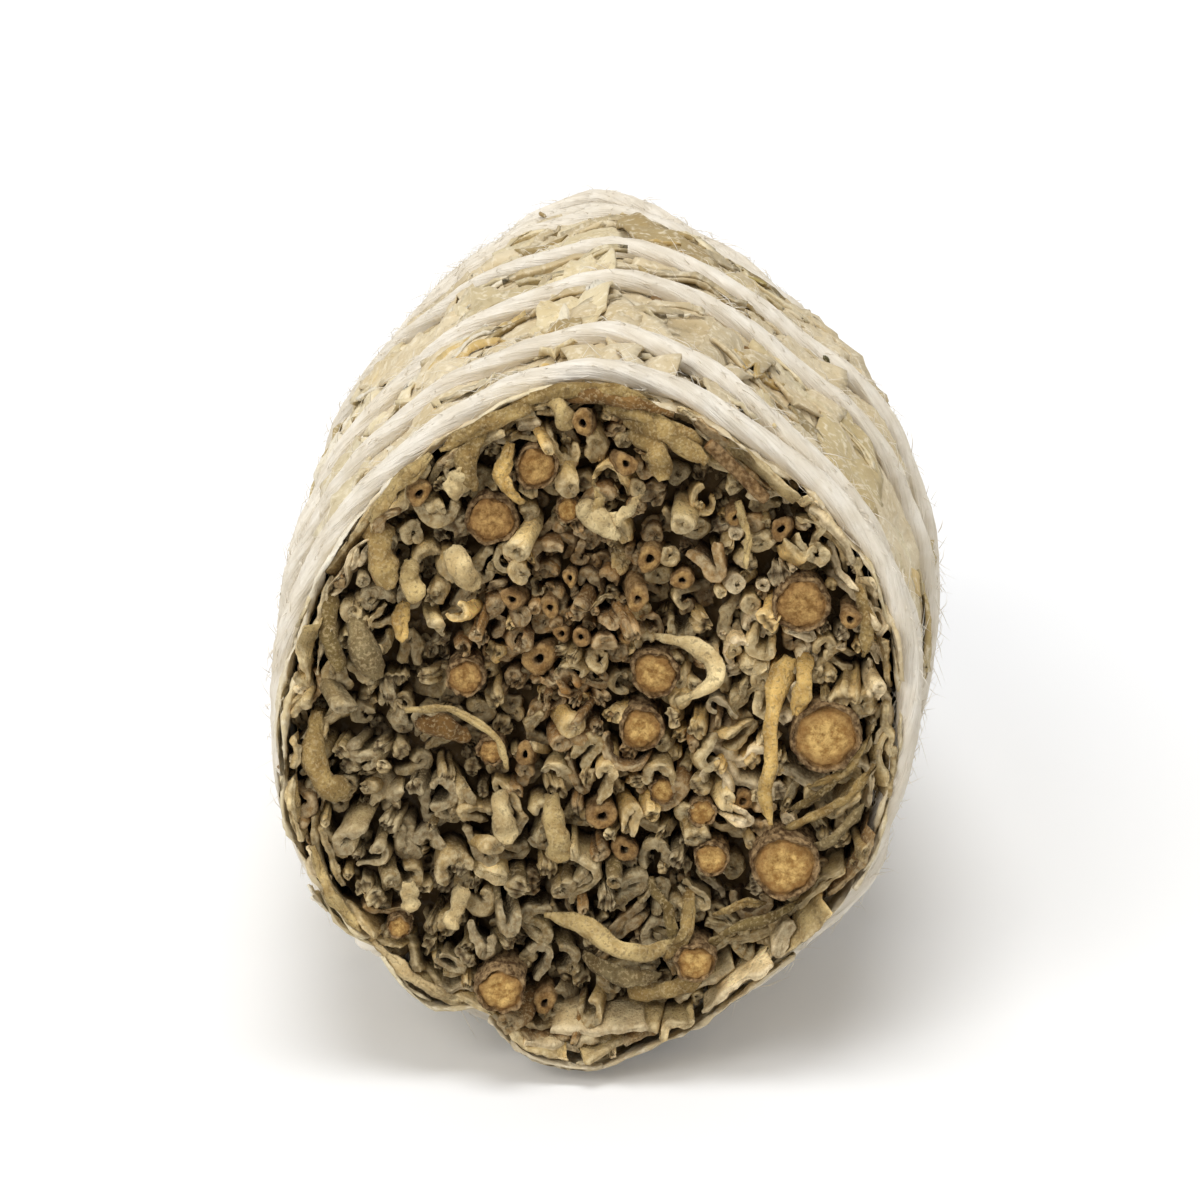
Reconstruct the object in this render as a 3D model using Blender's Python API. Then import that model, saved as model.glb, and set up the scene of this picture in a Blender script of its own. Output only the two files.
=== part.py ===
"""Smudge stick: a bundle of dried white sage, bound with soft cotton twine, lying on its side.

The cut ends of the stems face -Y and the leaf tips point to +Y. Metres, +Z up.
Around the bundle, an angle of 0 is at +X and 90 degrees is at the top.
"""

import math

import bmesh
import bpy
import numpy as np
from mathutils import Matrix, Vector

MM = 0.001
TURN = 2 * math.pi

# The bundle: its outline at the cut face, every 30 degrees from +X, and its girth from the cut
# face to the tips, as pairs of millimetres from the face and a share of the face's size.
RIM_RADII = [r * MM for r in (18.1, 18.7, 18.6, 20.3, 18.6, 18.2, 18.6, 20.3, 20.5, 21.9, 18.9, 18.75)]
GIRTH_ROUTE = [
    (0, 1.0), (10, 1.068), (20, 1.113), (32, 1.125), (45, 1.112), (60, 1.061), (72, 0.982),
    (86, 0.90), (94, 0.86), (102, 0.79),
]
# The bundle is a little bent: millimetres from the cut face, and how far its middle lies towards +X.
BEND_ROUTE = [(0, 0.0), (8, 0.7), (40, 0.9), (62, 0.2), (90, -1.8), (102, -1.9)]
ROUTE_EASE = 10               # millimetres over which the slopes of both routes change
BUNDLE_LENGTH = 97 * MM
LEAF_UNDERSIDE = 1.0 * MM     # the leaves lie this high, on the turns of the twine
MIDDLE = 48 * MM              # from the cut face
MIDDLE_HEIGHT = LEAF_UNDERSIDE + 21.8 * MM
AXIS_SLOPE = math.radians(1.1)    # the belly and the tips touch down, so the cut face is raised
GAP = 0.3 * MM                # between pieces that touch

# The wrapping leaves, in two ranks whose points run between each other.
LEAVES_PER_RANK = 9
LEAF_THICKNESS = 0.9 * MM
LEAF_ROWS = 11
LEAF_COLUMNS = 3
CUT_RANK_END = 54 * MM
CUT_RANK_NARROWS = 14 * MM    # its leaves keep their full width up to here
CUT_POINT_WIDTH = 0.1         # of its full width, left at its blunt point
TIP_RANK_START = 24 * MM
TIP_POINT_WIDTH = 0.2
TIP_POINT_LENGTH = 12 * MM
TIP_RAGGEDNESS = 2.5 * MM
TIP_RAGGED_STEP = 2.3         # radians, from one tip to the next
LEAF_EDGE_GAP = math.radians(1.6)

# The packed inner leaves.
PACK_DEPTH = LEAF_THICKNESS + 0.6 * MM
PACK_SIDES = 24
PACK_ROWS = 10
PACK_END = 93 * MM
PACK_SHOULDER = [(0.0, 4.0), (3.0, 1.2), (8.0, 0.0)]    # how far in, and how far from its end

# The woody stems, in millimetres: place from the bundle's middle, bark radius, and how far
# the cut end stands out of the leaves.
STEMS = [
    (14.0, -1.0, 2.20, 1.2),
    (11.6, -9.1, 2.10, 1.5),
    (12.4, 7.1, 1.75, 0.6),
    (3.6, 2.7, 1.50, 0.3),
    (2.8, -0.7, 1.40, 0.5),
    (-6.2, 12.2, 1.60, 0.4),
    (-3.5, 15.4, 1.35, 0.3),
    (-7.8, 2.5, 1.20, 0.6),
    (-5.7, -16.9, 1.50, 2.4),
    (6.2, -15.2, 1.25, 1.8),
    (7.1, -8.9, 1.10, 0.4),
    (6.5, -6.0, 0.90, 0.3),
    (-1.6, 12.8, 0.80, 0.2),
    (-6.3, -2.2, 0.85, 0.3),
    (4.1, -4.6, 0.85, 0.4),
    (-12.0, -13.4, 0.75, 0.3),
]
STEM_SIDES = 8
STEM_ROWS = 6
STEM_TAPER = 0.4              # of its radius, lost by the end inside the bundle
STEM_CROOK = 0.25 * MM
STEM_CROOK_TURN = 4.0         # radians of its wave, over its whole length
SHORTEST_STEM = 50 * MM
STEM_LENGTH_PER_RADIUS = 14   # a thicker stem reaches further up the bundle
GOLDEN_ANGLE = math.radians(137.5)

# The short twig caught under the twine at the rim of the cut face.
TWIG_ENDS = [(7.0 * MM, 16.6 * MM), (10.2 * MM, 13.4 * MM)]
TWIG_RADIUS = 0.65 * MM
TWIG_BOW = 0.2 * MM

# The twine starts at the knot, goes clockwise as seen from the cut face, and comes back over
# itself to the knot. Its route pairs a number of turns past the top with millimetres from the face.
TWINE_RADIUS = 0.85 * MM
TWINE_SIDES = 6
TWINE_CLEARANCE = 0.65 * MM    # clear of the flats of the leaves between its own steps
TWINE_STEPS_PER_TURN = 28
KNOT_TURN = 0.62
KNOT_PLACE = 5.6
TWINE_ROUTE = [
    (KNOT_TURN - 1, KNOT_PLACE), (-0.15, 3.0), (0, 1.2), (0.1, 1.0), (0.35, 1.6), (0.46, 11), (0.62, 20),
    (0.84, 27), (1, 23), (1.2, 24), (1.36, 27), (1.6, 66), (2, 66), (3, 84), (4, 86.8), (5, 89.6),
    (5.5, 70), (5.65, 63), (5.8, 59), (6, 33), (6.2, 35), (6.84, 14), (7, 9.6), (7.1, 4.9),
    (7 + KNOT_TURN, KNOT_PLACE),
]
RETURN_TURN = 4.9             # from here on the twine lies over its earlier turns
TWINE_EASE = 0.18             # of a turn, over which its slope changes
CROSSING_REACH = 3.0 * MM
CROSSING_SPREAD = 0.02        # of a turn, by which each rise over a crossing is drawn out
KNOT_RADII = (1.9 * MM, 1.7 * MM, 1.25 * MM)
KNOT_TAIL = 3.4 * MM
KNOT_TAIL_NARROWING = (0.8, 0.7)
SMOOTH_UNDER = math.radians(50)


def smoothstep(value):
    """Ease from 0 to 1 as value goes from 0 to 1."""
    value = min(max(value, 0.0), 1.0)
    return value * value * (3 - 2 * value)


def eased(route, at, ease):
    """Value at a place on a route of (place, value) pairs, with its corners rounded off."""
    places, values = zip(*route)
    return float(np.mean(np.interp(at + np.linspace(-ease / 2, ease / 2, 9), places, values)))


def rim_radius(angle):
    """Radius of the cut face's outline, on one smooth closed curve through RIM_RADII."""
    count = len(RIM_RADII)
    place = (angle / TURN) % 1.0 * count
    k = int(place)
    f = place - k
    a, b, c, d = (RIM_RADII[(k + step) % count] for step in (-1, 0, 1, 2))
    return b + 0.5 * f * (c - a + f * (2 * a - 5 * b + 4 * c - d + f * (3 * (b - c) + d - a)))


def girth(along):
    """Size of the bundle's cross-section at a distance from the cut face, as a share of the face's."""
    return eased(GIRTH_ROUTE, along / MM, ROUTE_EASE)


def centre_across(along):
    """How far the bundle's middle line lies towards +X."""
    return (eased(BEND_ROUTE, along / MM, ROUTE_EASE) - eased(BEND_ROUTE, 0.0, ROUTE_EASE)) * MM


def centre_height(along):
    """Height of the bundle's middle line."""
    return MIDDLE_HEIGHT + (MIDDLE - along) * math.tan(AXIS_SLOPE)


def bundle_point(angle, along, below=0.0):
    """A point that is `below` the surface of the leaves, whose underside is pressed flat."""
    radius = rim_radius(angle) * girth(along) - below
    height = centre_height(along) + radius * math.sin(angle)
    return (centre_across(along) + radius * math.cos(angle), along, max(height, LEAF_UNDERSIDE + below))


def make_material(name, colour, roughness):
    """One plain dry finish."""
    material = bpy.data.materials.new(name)
    material.use_nodes = True
    shader = material.node_tree.nodes["Principled BSDF"]
    shader.inputs["Base Color"].default_value = (*colour, 1.0)
    shader.inputs["Roughness"].default_value = roughness
    shader.inputs["Metallic"].default_value = 0.0
    return material


def make_part(name, mesh_data, origin, material, parent):
    """A named object whose mesh is placed around its own origin."""
    mesh_data.transform(Matrix.Translation(-Vector(origin)))
    mesh = bpy.data.meshes.new(name)
    mesh_data.to_mesh(mesh)
    mesh_data.free()
    part = bpy.data.objects.new(name, mesh)
    bpy.context.scene.collection.objects.link(part)
    part.location = origin
    part.parent = parent
    mesh.materials.append(material)
    mesh.shade_smooth()
    mesh.set_sharp_from_angle(angle=SMOOTH_UNDER)
    return part


def loft(rings):
    """A closed tube through rings of points, capped at both ends."""
    tube = bmesh.new()
    rows = [[tube.verts.new(point) for point in ring] for ring in rings]
    sides = len(rings[0])
    for row, following in zip(rows, rows[1:]):
        for k in range(sides):
            tube.faces.new((row[k], row[(k + 1) % sides], following[(k + 1) % sides], following[k]))
    tube.faces.new(list(reversed(rows[0])))
    tube.faces.new(rows[-1])
    bmesh.ops.triangulate(tube, faces=[face for face in tube.faces if len(face.verts) > 4])
    bmesh.ops.recalc_face_normals(tube, faces=tube.faces[:])
    return tube


def stem_path(index, end_reach=0.0):
    """Points up the middle of one stem, from its cut end, each with its share of the length."""
    across, height, radius, stands_out = (value * MM for value in STEMS[index])
    length = SHORTEST_STEM + STEM_LENGTH_PER_RADIUS * radius
    points = []
    for share in np.linspace(0.0, 1.0, STEM_ROWS):
        along = -stands_out - end_reach + share * (length + stands_out + 2 * end_reach)
        sway = STEM_CROOK * math.sin(STEM_CROOK_TURN * share) * share
        x = centre_across(along) + across * girth(along) + sway * math.cos(index * GOLDEN_ANGLE)
        z = centre_height(along) + height * girth(along) + sway * math.sin(index * GOLDEN_ANGLE)
        points.append(((x, along, z), share))
    return points


def stem_rings(index, growth=0.0, end_reach=0.0):
    """Rings of one stem, which thins as it goes up the bundle."""
    radius = STEMS[index][2] * MM
    rings = []
    for (x, y, z), share in stem_path(index, end_reach):
        r = radius * (1 - STEM_TAPER * share) + growth
        turns = [TURN * (k + 0.5) / STEM_SIDES for k in range(STEM_SIDES)]
        rings.append([(x + r * math.cos(turn), y, z + r * math.sin(turn)) for turn in turns])
    return rings


def make_stems(material, parent):
    """The woody stems, each a solid of its own."""
    for index in range(len(STEMS)):
        start = stem_path(index)[0][0]
        make_part(f"stem_{index + 1:02d}", loft(stem_rings(index)), start, material, parent)


def make_packed_leaves(material, parent):
    """The small curled leaves of the inside as one solid, with a hole for each stem."""
    rings = []
    angles = [TURN * k / PACK_SIDES for k in range(PACK_SIDES)]
    for along in np.linspace(0.0, PACK_END - PACK_SHOULDER[0][1] * MM, PACK_ROWS):
        rings.append([bundle_point(angle, along, PACK_DEPTH) for angle in angles])
    for inset, from_end in PACK_SHOULDER[1:]:
        along = PACK_END - from_end * MM
        rings.append([bundle_point(angle, along, PACK_DEPTH + inset * MM) for angle in angles])
    pack = make_part("packed_leaves", loft(rings), (0, 0, 0), material, parent)
    for index in range(len(STEMS)):
        hole = make_part(f"cut_{index + 1:02d}", loft(stem_rings(index, GAP, GAP)), (0, 0, 0),
                         material, parent)
        hole.hide_render = True
        hole.display_type = "WIRE"
        boring = pack.modifiers.new(hole.name, "BOOLEAN")
        boring.operation = "DIFFERENCE"
        boring.solver = "EXACT"
        boring.object = hole
    return pack


def leaf_plate(middle, start, end, half_width):
    """A closed plate over the bundle, whose half width in radians depends on the place along it."""
    plate = bmesh.new()
    layers = []
    for below in (0.0, LEAF_THICKNESS):
        rows = []
        for along in np.linspace(start, end, LEAF_ROWS):
            reach = half_width(along)
            spread = np.linspace(-reach, reach, LEAF_COLUMNS + 1)
            rows.append([plate.verts.new(bundle_point(middle + turn, along, below)) for turn in spread])
        layers.append(rows)
    top, bottom = layers
    for i in range(LEAF_ROWS - 1):
        for j in range(LEAF_COLUMNS):
            for rows in layers:
                plate.faces.new((rows[i][j], rows[i][j + 1], rows[i + 1][j + 1], rows[i + 1][j]))
        for j in (0, LEAF_COLUMNS):
            plate.faces.new((top[i][j], top[i + 1][j], bottom[i + 1][j], bottom[i][j]))
    for i in (0, LEAF_ROWS - 1):
        for j in range(LEAF_COLUMNS):
            plate.faces.new((top[i][j], top[i][j + 1], bottom[i][j + 1], bottom[i][j]))
    bmesh.ops.recalc_face_normals(plate, faces=plate.faces[:])
    return plate


def cut_rank_width(along, share):
    """Half width of a leaf of the cut rank: a full base that narrows to a blunt point."""
    narrowing = smoothstep((along - CUT_RANK_NARROWS) / (CUT_RANK_END - CUT_RANK_NARROWS))
    return share * (1 - (1 - CUT_POINT_WIDTH) * narrowing)


def make_wrapping_leaves(material, parent):
    """Two ranks of long leaves: one cut with the face, and one that ends in the ragged tips."""
    share = TURN / LEAVES_PER_RANK / 2
    gap = LEAF_EDGE_GAP / 2
    for index in range(LEAVES_PER_RANK):
        middle = index * TURN / LEAVES_PER_RANK
        plate = leaf_plate(middle, 0.0, CUT_RANK_END, lambda along: cut_rank_width(along, share - gap))
        make_part(f"cut_leaf_{index + 1:02d}", plate, bundle_point(middle, 0.0), material, parent)

        tip = BUNDLE_LENGTH + TIP_RAGGEDNESS * math.sin(TIP_RAGGED_STEP * index)
        tip_start = tip - TIP_POINT_LENGTH

        def tip_rank_width(along):
            beside = 2 * share - cut_rank_width(along, share)
            point = smoothstep((along - tip_start) / (tip - tip_start))
            return (beside - share - gap) * (1 - (1 - TIP_POINT_WIDTH) * point)

        middle += share
        plate = leaf_plate(middle, TIP_RANK_START, tip, tip_rank_width)
        make_part(f"tip_leaf_{index + 1:02d}", plate, bundle_point(middle, tip), material, parent)


def make_twig(material, parent):
    """The short twig lying across the rim of the cut face."""
    (x0, z0), (x1, z1) = TWIG_ENDS
    lean = math.atan2(z1 - z0, x1 - x0)
    along = -GAP - TWIG_RADIUS
    rings = []
    for share in np.linspace(0.0, 1.0, 4):
        x = x0 + (x1 - x0) * share
        z = centre_height(0.0) + z0 + (z1 - z0) * share + TWIG_BOW * math.sin(math.pi * share)
        ring = []
        for k in range(STEM_SIDES):
            turn = TURN * k / STEM_SIDES
            out = TWIG_RADIUS * math.cos(turn)
            ring.append((x - out * math.sin(lean), along + TWIG_RADIUS * math.sin(turn),
                         z + out * math.cos(lean)))
        rings.append(ring)
    start = (x0, along, centre_height(0.0) + z0)
    make_part("twig", loft(rings), start, material, parent)


def twine_from_face(turn):
    """Distance of the twine from the cut face, at a number of turns past its first pass of the top."""
    return eased(TWINE_ROUTE, turn, TWINE_EASE) * MM


def rise_over_turns(turn):
    """How far the twine must be raised here to clear its own earlier turns."""
    here = twine_from_face(turn)
    rise = 0.0
    for back in range(1, int(turn + 1 - KNOT_TURN) + 1):
        apart = abs(here - twine_from_face(turn - back))
        over = 2 * TWINE_RADIUS + GAP
        rise = max(rise, over * smoothstep(2 * (1 - apart / CROSSING_REACH)))
    return rise


def twine_lift(turn):
    """The rise over a crossing, drawn out so that the twine bends gently over it."""
    if turn < RETURN_TURN:
        return 0.0
    nearby = np.linspace(-CROSSING_SPREAD, CROSSING_SPREAD, 5)
    return float(np.mean([max(rise_over_turns(turn + a + b) for b in nearby) for a in nearby]))


def twine_point(turn, lift):
    """Middle of the twine, on the surface of the leaves."""
    angle = TURN * (0.25 - turn)
    return np.array(bundle_point(angle, twine_from_face(turn), -(TWINE_CLEARANCE + TWINE_RADIUS + lift)))


def knot_clearance():
    """Share of a turn between the knot's middle and the end of the twine at each side."""
    return (KNOT_RADII[0] + GAP) / (TURN * rim_radius(TURN * (0.25 - KNOT_TURN)))


def make_twine(material, parent):
    """The whole twine from the knot, up the bundle and back, as one round cord."""
    clear = knot_clearance()
    first = TWINE_ROUTE[0][0] + clear
    last = TWINE_ROUTE[-1][0] - clear
    steps = int((last - first) * TWINE_STEPS_PER_TURN)
    turns = np.linspace(first, last, steps + 1)
    points = [twine_point(t, twine_lift(t)) for t in turns]
    rings = []
    for k, point in enumerate(points):
        ahead = points[min(k + 1, steps)] - points[max(k - 1, 0)]
        ahead /= np.linalg.norm(ahead)
        outward = np.array([point[0] - centre_across(point[1]), 0.0, point[2] - centre_height(point[1])])
        outward -= ahead * outward.dot(ahead)
        outward /= np.linalg.norm(outward)
        side = np.cross(ahead, outward)
        ring = []
        for j in range(TWINE_SIDES):
            turn = TURN * (j + 0.5) / TWINE_SIDES
            place = point + TWINE_RADIUS * (math.cos(turn) * outward + math.sin(turn) * side)
            ring.append((place[0], place[1], max(place[2], 0.0)))
        rings.append(ring)
    make_part("twine", loft(rings), points[0].tolist(), material, parent)


def make_knot(material, parent):
    """The knot that ties the twine's two ends, with its two short frayed tails."""
    angle = TURN * (0.25 - KNOT_TURN)
    middle = bundle_point(angle, KNOT_PLACE * MM, -(TWINE_CLEARANCE + KNOT_RADII[2]))
    knot = bmesh.new()
    bmesh.ops.create_cube(knot, size=2.0)
    bmesh.ops.subdivide_edges(knot, edges=knot.edges[:], cuts=2, use_grid_fill=True)
    for vert in knot.verts:
        vert.co.normalize()
    tail_end = max(knot.faces, key=lambda face: face.calc_center_median().y)
    reach = KNOT_TAIL / KNOT_RADII[1] / len(KNOT_TAIL_NARROWING)
    for narrowing in KNOT_TAIL_NARROWING:
        tail_end = bmesh.ops.extrude_discrete_faces(knot, faces=[tail_end])["faces"][0]
        bmesh.ops.translate(knot, verts=tail_end.verts[:], vec=(0, reach, 0))
        centre = tail_end.calc_center_median()
        for vert in tail_end.verts:
            vert.co = centre + (vert.co - centre) * narrowing
    for vert in knot.verts:
        vert.co = [value * radius for value, radius in zip(vert.co, KNOT_RADII)]
    bmesh.ops.recalc_face_normals(knot, faces=knot.faces[:])
    tilt = TURN / 4 - angle
    for vert in knot.verts:
        across, along, out = vert.co
        vert.co = (middle[0] + across * math.cos(tilt) + out * math.sin(tilt), middle[1] + along,
                   middle[2] - across * math.sin(tilt) + out * math.cos(tilt))
    make_part("knot", knot, middle, material, parent)


def centre_on_base(bundle):
    """Move the bundle so that the middle of its box's underside is at the origin."""
    bpy.context.view_layer.update()
    parts = [part for part in bundle.children if not part.hide_render]
    corners = np.array([part.matrix_world @ vert.co for part in parts for vert in part.data.vertices])
    low, high = corners.min(axis=0), corners.max(axis=0)
    bundle.location = (-(low[0] + high[0]) / 2, -(low[1] + high[1]) / 2, -low[2])


def main():
    """Build the smudge stick."""
    for old in list(bpy.data.objects):
        bpy.data.objects.remove(old, do_unlink=True)
    bundle = bpy.data.objects.new("bundle", None)
    bpy.context.scene.collection.objects.link(bundle)
    leaf = make_material("sage_leaf", (0.50, 0.44, 0.31), 0.9)
    inner_leaf = make_material("curled_leaf", (0.33, 0.28, 0.17), 0.9)
    wood = make_material("stem_wood", (0.47, 0.31, 0.13), 0.8)
    cotton = make_material("cotton_twine", (0.86, 0.82, 0.75), 0.95)
    make_stems(wood, bundle)
    make_twig(wood, bundle)
    make_packed_leaves(inner_leaf, bundle)
    make_wrapping_leaves(leaf, bundle)
    make_twine(cotton, bundle)
    make_knot(cotton, bundle)
    centre_on_base(bundle)


main()
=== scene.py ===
"""The looks of a smudge stick: dried white sage, bound with soft cotton twine.

Everything is in metres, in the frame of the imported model. The cut face looks towards -Y, the leaf
tips point to +Y, and the bundle lies on z = 0. Round the bundle, an angle of 0 is at +X and
90 degrees is at the top.
"""

import math
from contextlib import contextmanager

import bpy
import numpy as np
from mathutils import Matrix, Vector
from mathutils.bvhtree import BVHTree
from mathutils.kdtree import KDTree


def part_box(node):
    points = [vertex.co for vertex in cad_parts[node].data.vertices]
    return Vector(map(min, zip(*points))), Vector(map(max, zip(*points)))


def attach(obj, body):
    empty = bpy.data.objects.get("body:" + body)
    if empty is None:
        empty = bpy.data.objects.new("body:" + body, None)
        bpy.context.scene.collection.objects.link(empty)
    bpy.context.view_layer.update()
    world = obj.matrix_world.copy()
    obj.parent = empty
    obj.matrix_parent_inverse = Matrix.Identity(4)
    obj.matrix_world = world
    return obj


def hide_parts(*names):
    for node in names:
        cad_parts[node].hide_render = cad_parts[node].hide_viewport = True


MM = 0.001
TURN = 2 * math.pi

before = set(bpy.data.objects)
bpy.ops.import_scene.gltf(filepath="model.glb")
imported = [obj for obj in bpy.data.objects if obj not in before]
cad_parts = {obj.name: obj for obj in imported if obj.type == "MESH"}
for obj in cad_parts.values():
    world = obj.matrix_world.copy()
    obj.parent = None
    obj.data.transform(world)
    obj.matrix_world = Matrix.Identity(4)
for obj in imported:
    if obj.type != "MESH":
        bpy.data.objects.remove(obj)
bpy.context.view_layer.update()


# ---------------------------------------------------------------- workshop helpers


def corners_of(piece):
    """A piece's points, one to a row."""
    flat = np.zeros(3 * len(piece.data.vertices), np.float32)
    piece.data.vertices.foreach_get("co", flat)
    return flat.reshape(-1, 3).astype(float)


def move_corners(piece, corners):
    """Put a piece's points in new places."""
    piece.data.vertices.foreach_set("co", corners.astype(np.float32).ravel())
    piece.data.update()


def set_mark(piece, name, values):
    """Store a number, a colour or a vector at each point."""
    values = np.asarray(values, np.float32)
    width = values.shape[1] if values.ndim == 2 else 1
    kind, field = {1: ("FLOAT", "value"), 3: ("FLOAT_VECTOR", "vector"), 4: ("FLOAT_COLOR", "color")}[width]
    mark = piece.data.attributes.new(name, kind, "POINT")
    mark.data.foreach_set(field, values.ravel())


def piece_from(name, points, faces, marks):
    """A new piece from points and faces, with its marks."""
    mesh = bpy.data.meshes.new(name)
    mesh.from_pydata(np.asarray(points).reshape(-1, 3).tolist(), [], faces)
    piece = bpy.data.objects.new(name, mesh)
    for mark, values in marks.items():
        set_mark(piece, mark, values)
    mesh.update()
    bpy.context.scene.collection.objects.link(piece)
    return piece


def rod(name, sides, radius, length, middle=(0, 0, 0), ends="NGON", along_y=True):
    """A plain rod, to model a stem from."""
    bpy.ops.object.select_all(action="DESELECT")
    bpy.ops.mesh.primitive_cylinder_add(
        vertices=sides, radius=radius, depth=length, end_fill_type=ends, location=middle,
        rotation=(math.pi / 2 if along_y else 0, 0, 0))
    piece = bpy.context.object
    piece.name = name
    bpy.ops.object.transform_apply(location=True, rotation=True, scale=True)
    return piece


@contextmanager
def editing():
    """Work on the active piece in edit mode."""
    bpy.ops.object.mode_set(mode="EDIT")
    yield
    bpy.ops.object.mode_set(mode="OBJECT")


def cut_across(places, axis="y"):
    """In edit mode, cut the whole piece across at places along one axis."""
    along = Vector([axis == name for name in "xyz"])
    for place in places:
        bpy.ops.mesh.select_all(action="SELECT")
        bpy.ops.mesh.bisect(plane_co=along * place, plane_no=along)


def inset_front(steps):
    """Inset the selected face again and again; each step is how far in, and how far back or forward."""
    for inset, back in steps:
        bpy.ops.mesh.inset(thickness=inset, use_boundary=True)
        bpy.ops.transform.translate(value=(0, back, 0))


def select_faces(piece, wanted):
    """Select only some of a piece's faces."""
    with editing():
        bpy.ops.mesh.select_mode(type="FACE")
        bpy.ops.mesh.select_all(action="DESELECT")
    for face in piece.data.polygons:
        face.select = wanted(face)


def select_front(piece):
    """Select only the foremost of the faces that look towards -Y."""
    nearest = min(face.center.y for face in piece.data.polygons if face.normal.y < -0.9)
    select_faces(piece, lambda face: face.normal.y < -0.9 and face.center.y < nearest + 1e-6)


def select_only(piece):
    """Make one piece the selected and active one."""
    bpy.ops.object.select_all(action="DESELECT")
    piece.select_set(True)
    bpy.context.view_layer.objects.active = piece


def apply_modifier(piece, kind, **settings):
    """Add one modifier and apply it."""
    select_only(piece)
    modifier = piece.modifiers.new(kind.title(), kind)
    for setting, value in settings.items():
        setattr(modifier, setting, value)
    bpy.ops.object.modifier_apply(modifier=modifier.name)


def round_off(piece):
    """Round a piece by one level of subdivision."""
    apply_modifier(piece, "SUBSURF", levels=1, render_levels=1)


def roughen(piece, *patterns, depth=2):
    """Push the surface in and out by cloudy patterns, each a size and a strength in millimetres."""
    for size, strength in patterns:
        clouds = bpy.data.textures.new(f"{piece.name}_{size:.2f}", "CLOUDS")
        clouds.noise_scale = size * MM
        clouds.noise_depth = depth
        apply_modifier(piece, "DISPLACE", texture=clouds, strength=strength * MM, mid_level=0.5,
                       texture_coords="LOCAL")


def clear_floor(piece, height):
    """Press whatever hangs too low flat on what the bundle lies on."""
    corners = corners_of(piece)
    corners[:, 2] = np.maximum(corners[:, 2], height)
    move_corners(piece, corners)


def finish_piece(piece, material, replaced=()):
    """Smooth, face outwards, colour and hand over a finished piece."""
    select_only(piece)
    with editing():
        bpy.ops.mesh.select_all(action="SELECT")
        bpy.ops.mesh.normals_make_consistent(inside=False)
    bpy.ops.object.shade_smooth()
    piece.data.materials.clear()
    piece.data.materials.append(material)
    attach(piece, "root")
    if replaced:
        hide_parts(*replaced)


def smooth(value):
    """Ease from 0 to 1."""
    value = np.clip(value, 0, 1)
    return value * value * (3 - 2 * value)


def unit(vectors, least=0.0):
    """The same directions, at a length of 1."""
    return vectors / (np.linalg.norm(vectors, axis=-1, keepdims=True) + least)


def along_line(line):
    """How far along a line in the plane each of its points is."""
    return np.concatenate([[0], np.cumsum(np.hypot(*np.diff(line, axis=0).T))])


def points_along(line, places):
    """Points of such a line, at given distances along it."""
    along = along_line(line)
    return np.stack([np.interp(places, along, line[:, axis]) for axis in (0, 1)], axis=-1)


def moving_mean(values, width):
    """Values smoothed over a number of neighbours."""
    return np.convolve(values, np.ones(width) / width, "same")


def finer(values, count):
    """The same curves with another number of points, for an array of (leaf, point, ...)."""
    last = values.shape[1] - 1
    places = np.linspace(0, last, count)
    low = np.clip(places.astype(int), 0, last - 1)
    f = (places - low).reshape(1, -1, *[1] * (values.ndim - 2))
    a, b, c, d = (values[:, np.clip(low + step, 0, last)] for step in (-1, 0, 1, 2))
    return b + 0.5 * f * (c - a + f * (2 * a - 5 * b + 4 * c - d + f * (3 * (b - c) + d - a)))


def uneven(draw, count, knots, points, low, high):
    """For each leaf, a value that wanders between two limits along its width."""
    return np.clip(finer(draw.uniform(low, high, (count, knots)), points), low, high)


def pick(shares, draw):
    """One of a few names, each with its share."""
    weights = np.array(list(shares.values()))
    return list(shares)[draw.choice(len(weights), p=weights / weights.sum())]


def grid_faces(rows, columns, base=0):
    """Faces of a grid of points."""
    return [(base + i * columns + j, base + i * columns + j + 1, base + (i + 1) * columns + j + 1,
             base + (i + 1) * columns + j) for i in range(rows - 1) for j in range(columns - 1)]


def hose_faces(rings, sides, base=0):
    """Faces of a closed hose, made of rings of points."""
    faces = [(base + i * sides + k, base + i * sides + (k + 1) % sides,
              base + (i + 1) * sides + (k + 1) % sides, base + (i + 1) * sides + k)
             for i in range(rings - 1) for k in range(sides)]
    last = base + (rings - 1) * sides
    return faces + [tuple(base + k for k in reversed(range(sides))), tuple(last + k for k in range(sides))]


def sheets_piece(name, sheets, shades, rows, columns, blank_marks=("hollow",)):
    """One piece of many thin sheets, each a grid of points with its own colour."""
    count = len(sheets)
    tint = np.ones((count, rows * columns, 4), np.float32)
    tint[..., :3] = np.array(shades).reshape(count, -1, 3)
    marks = {"tint": tint.reshape(-1, 4), **{mark: np.zeros(count * rows * columns) for mark in blank_marks}}
    faces = [face for k in range(count) for face in grid_faces(rows, columns, k * rows * columns)]
    return piece_from(name, np.array(sheets), faces, marks)


# ---------------------------------------------------------------- the bundle's own shape

FACE_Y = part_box("packed_leaves")[0].y
PACK_END_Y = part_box("packed_leaves")[1].y
TIPS_Y = max(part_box(f"tip_leaf_{k:02d}")[1].y for k in range(1, 10))
AXIS_SLOPE = math.radians(1.1)
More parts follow.
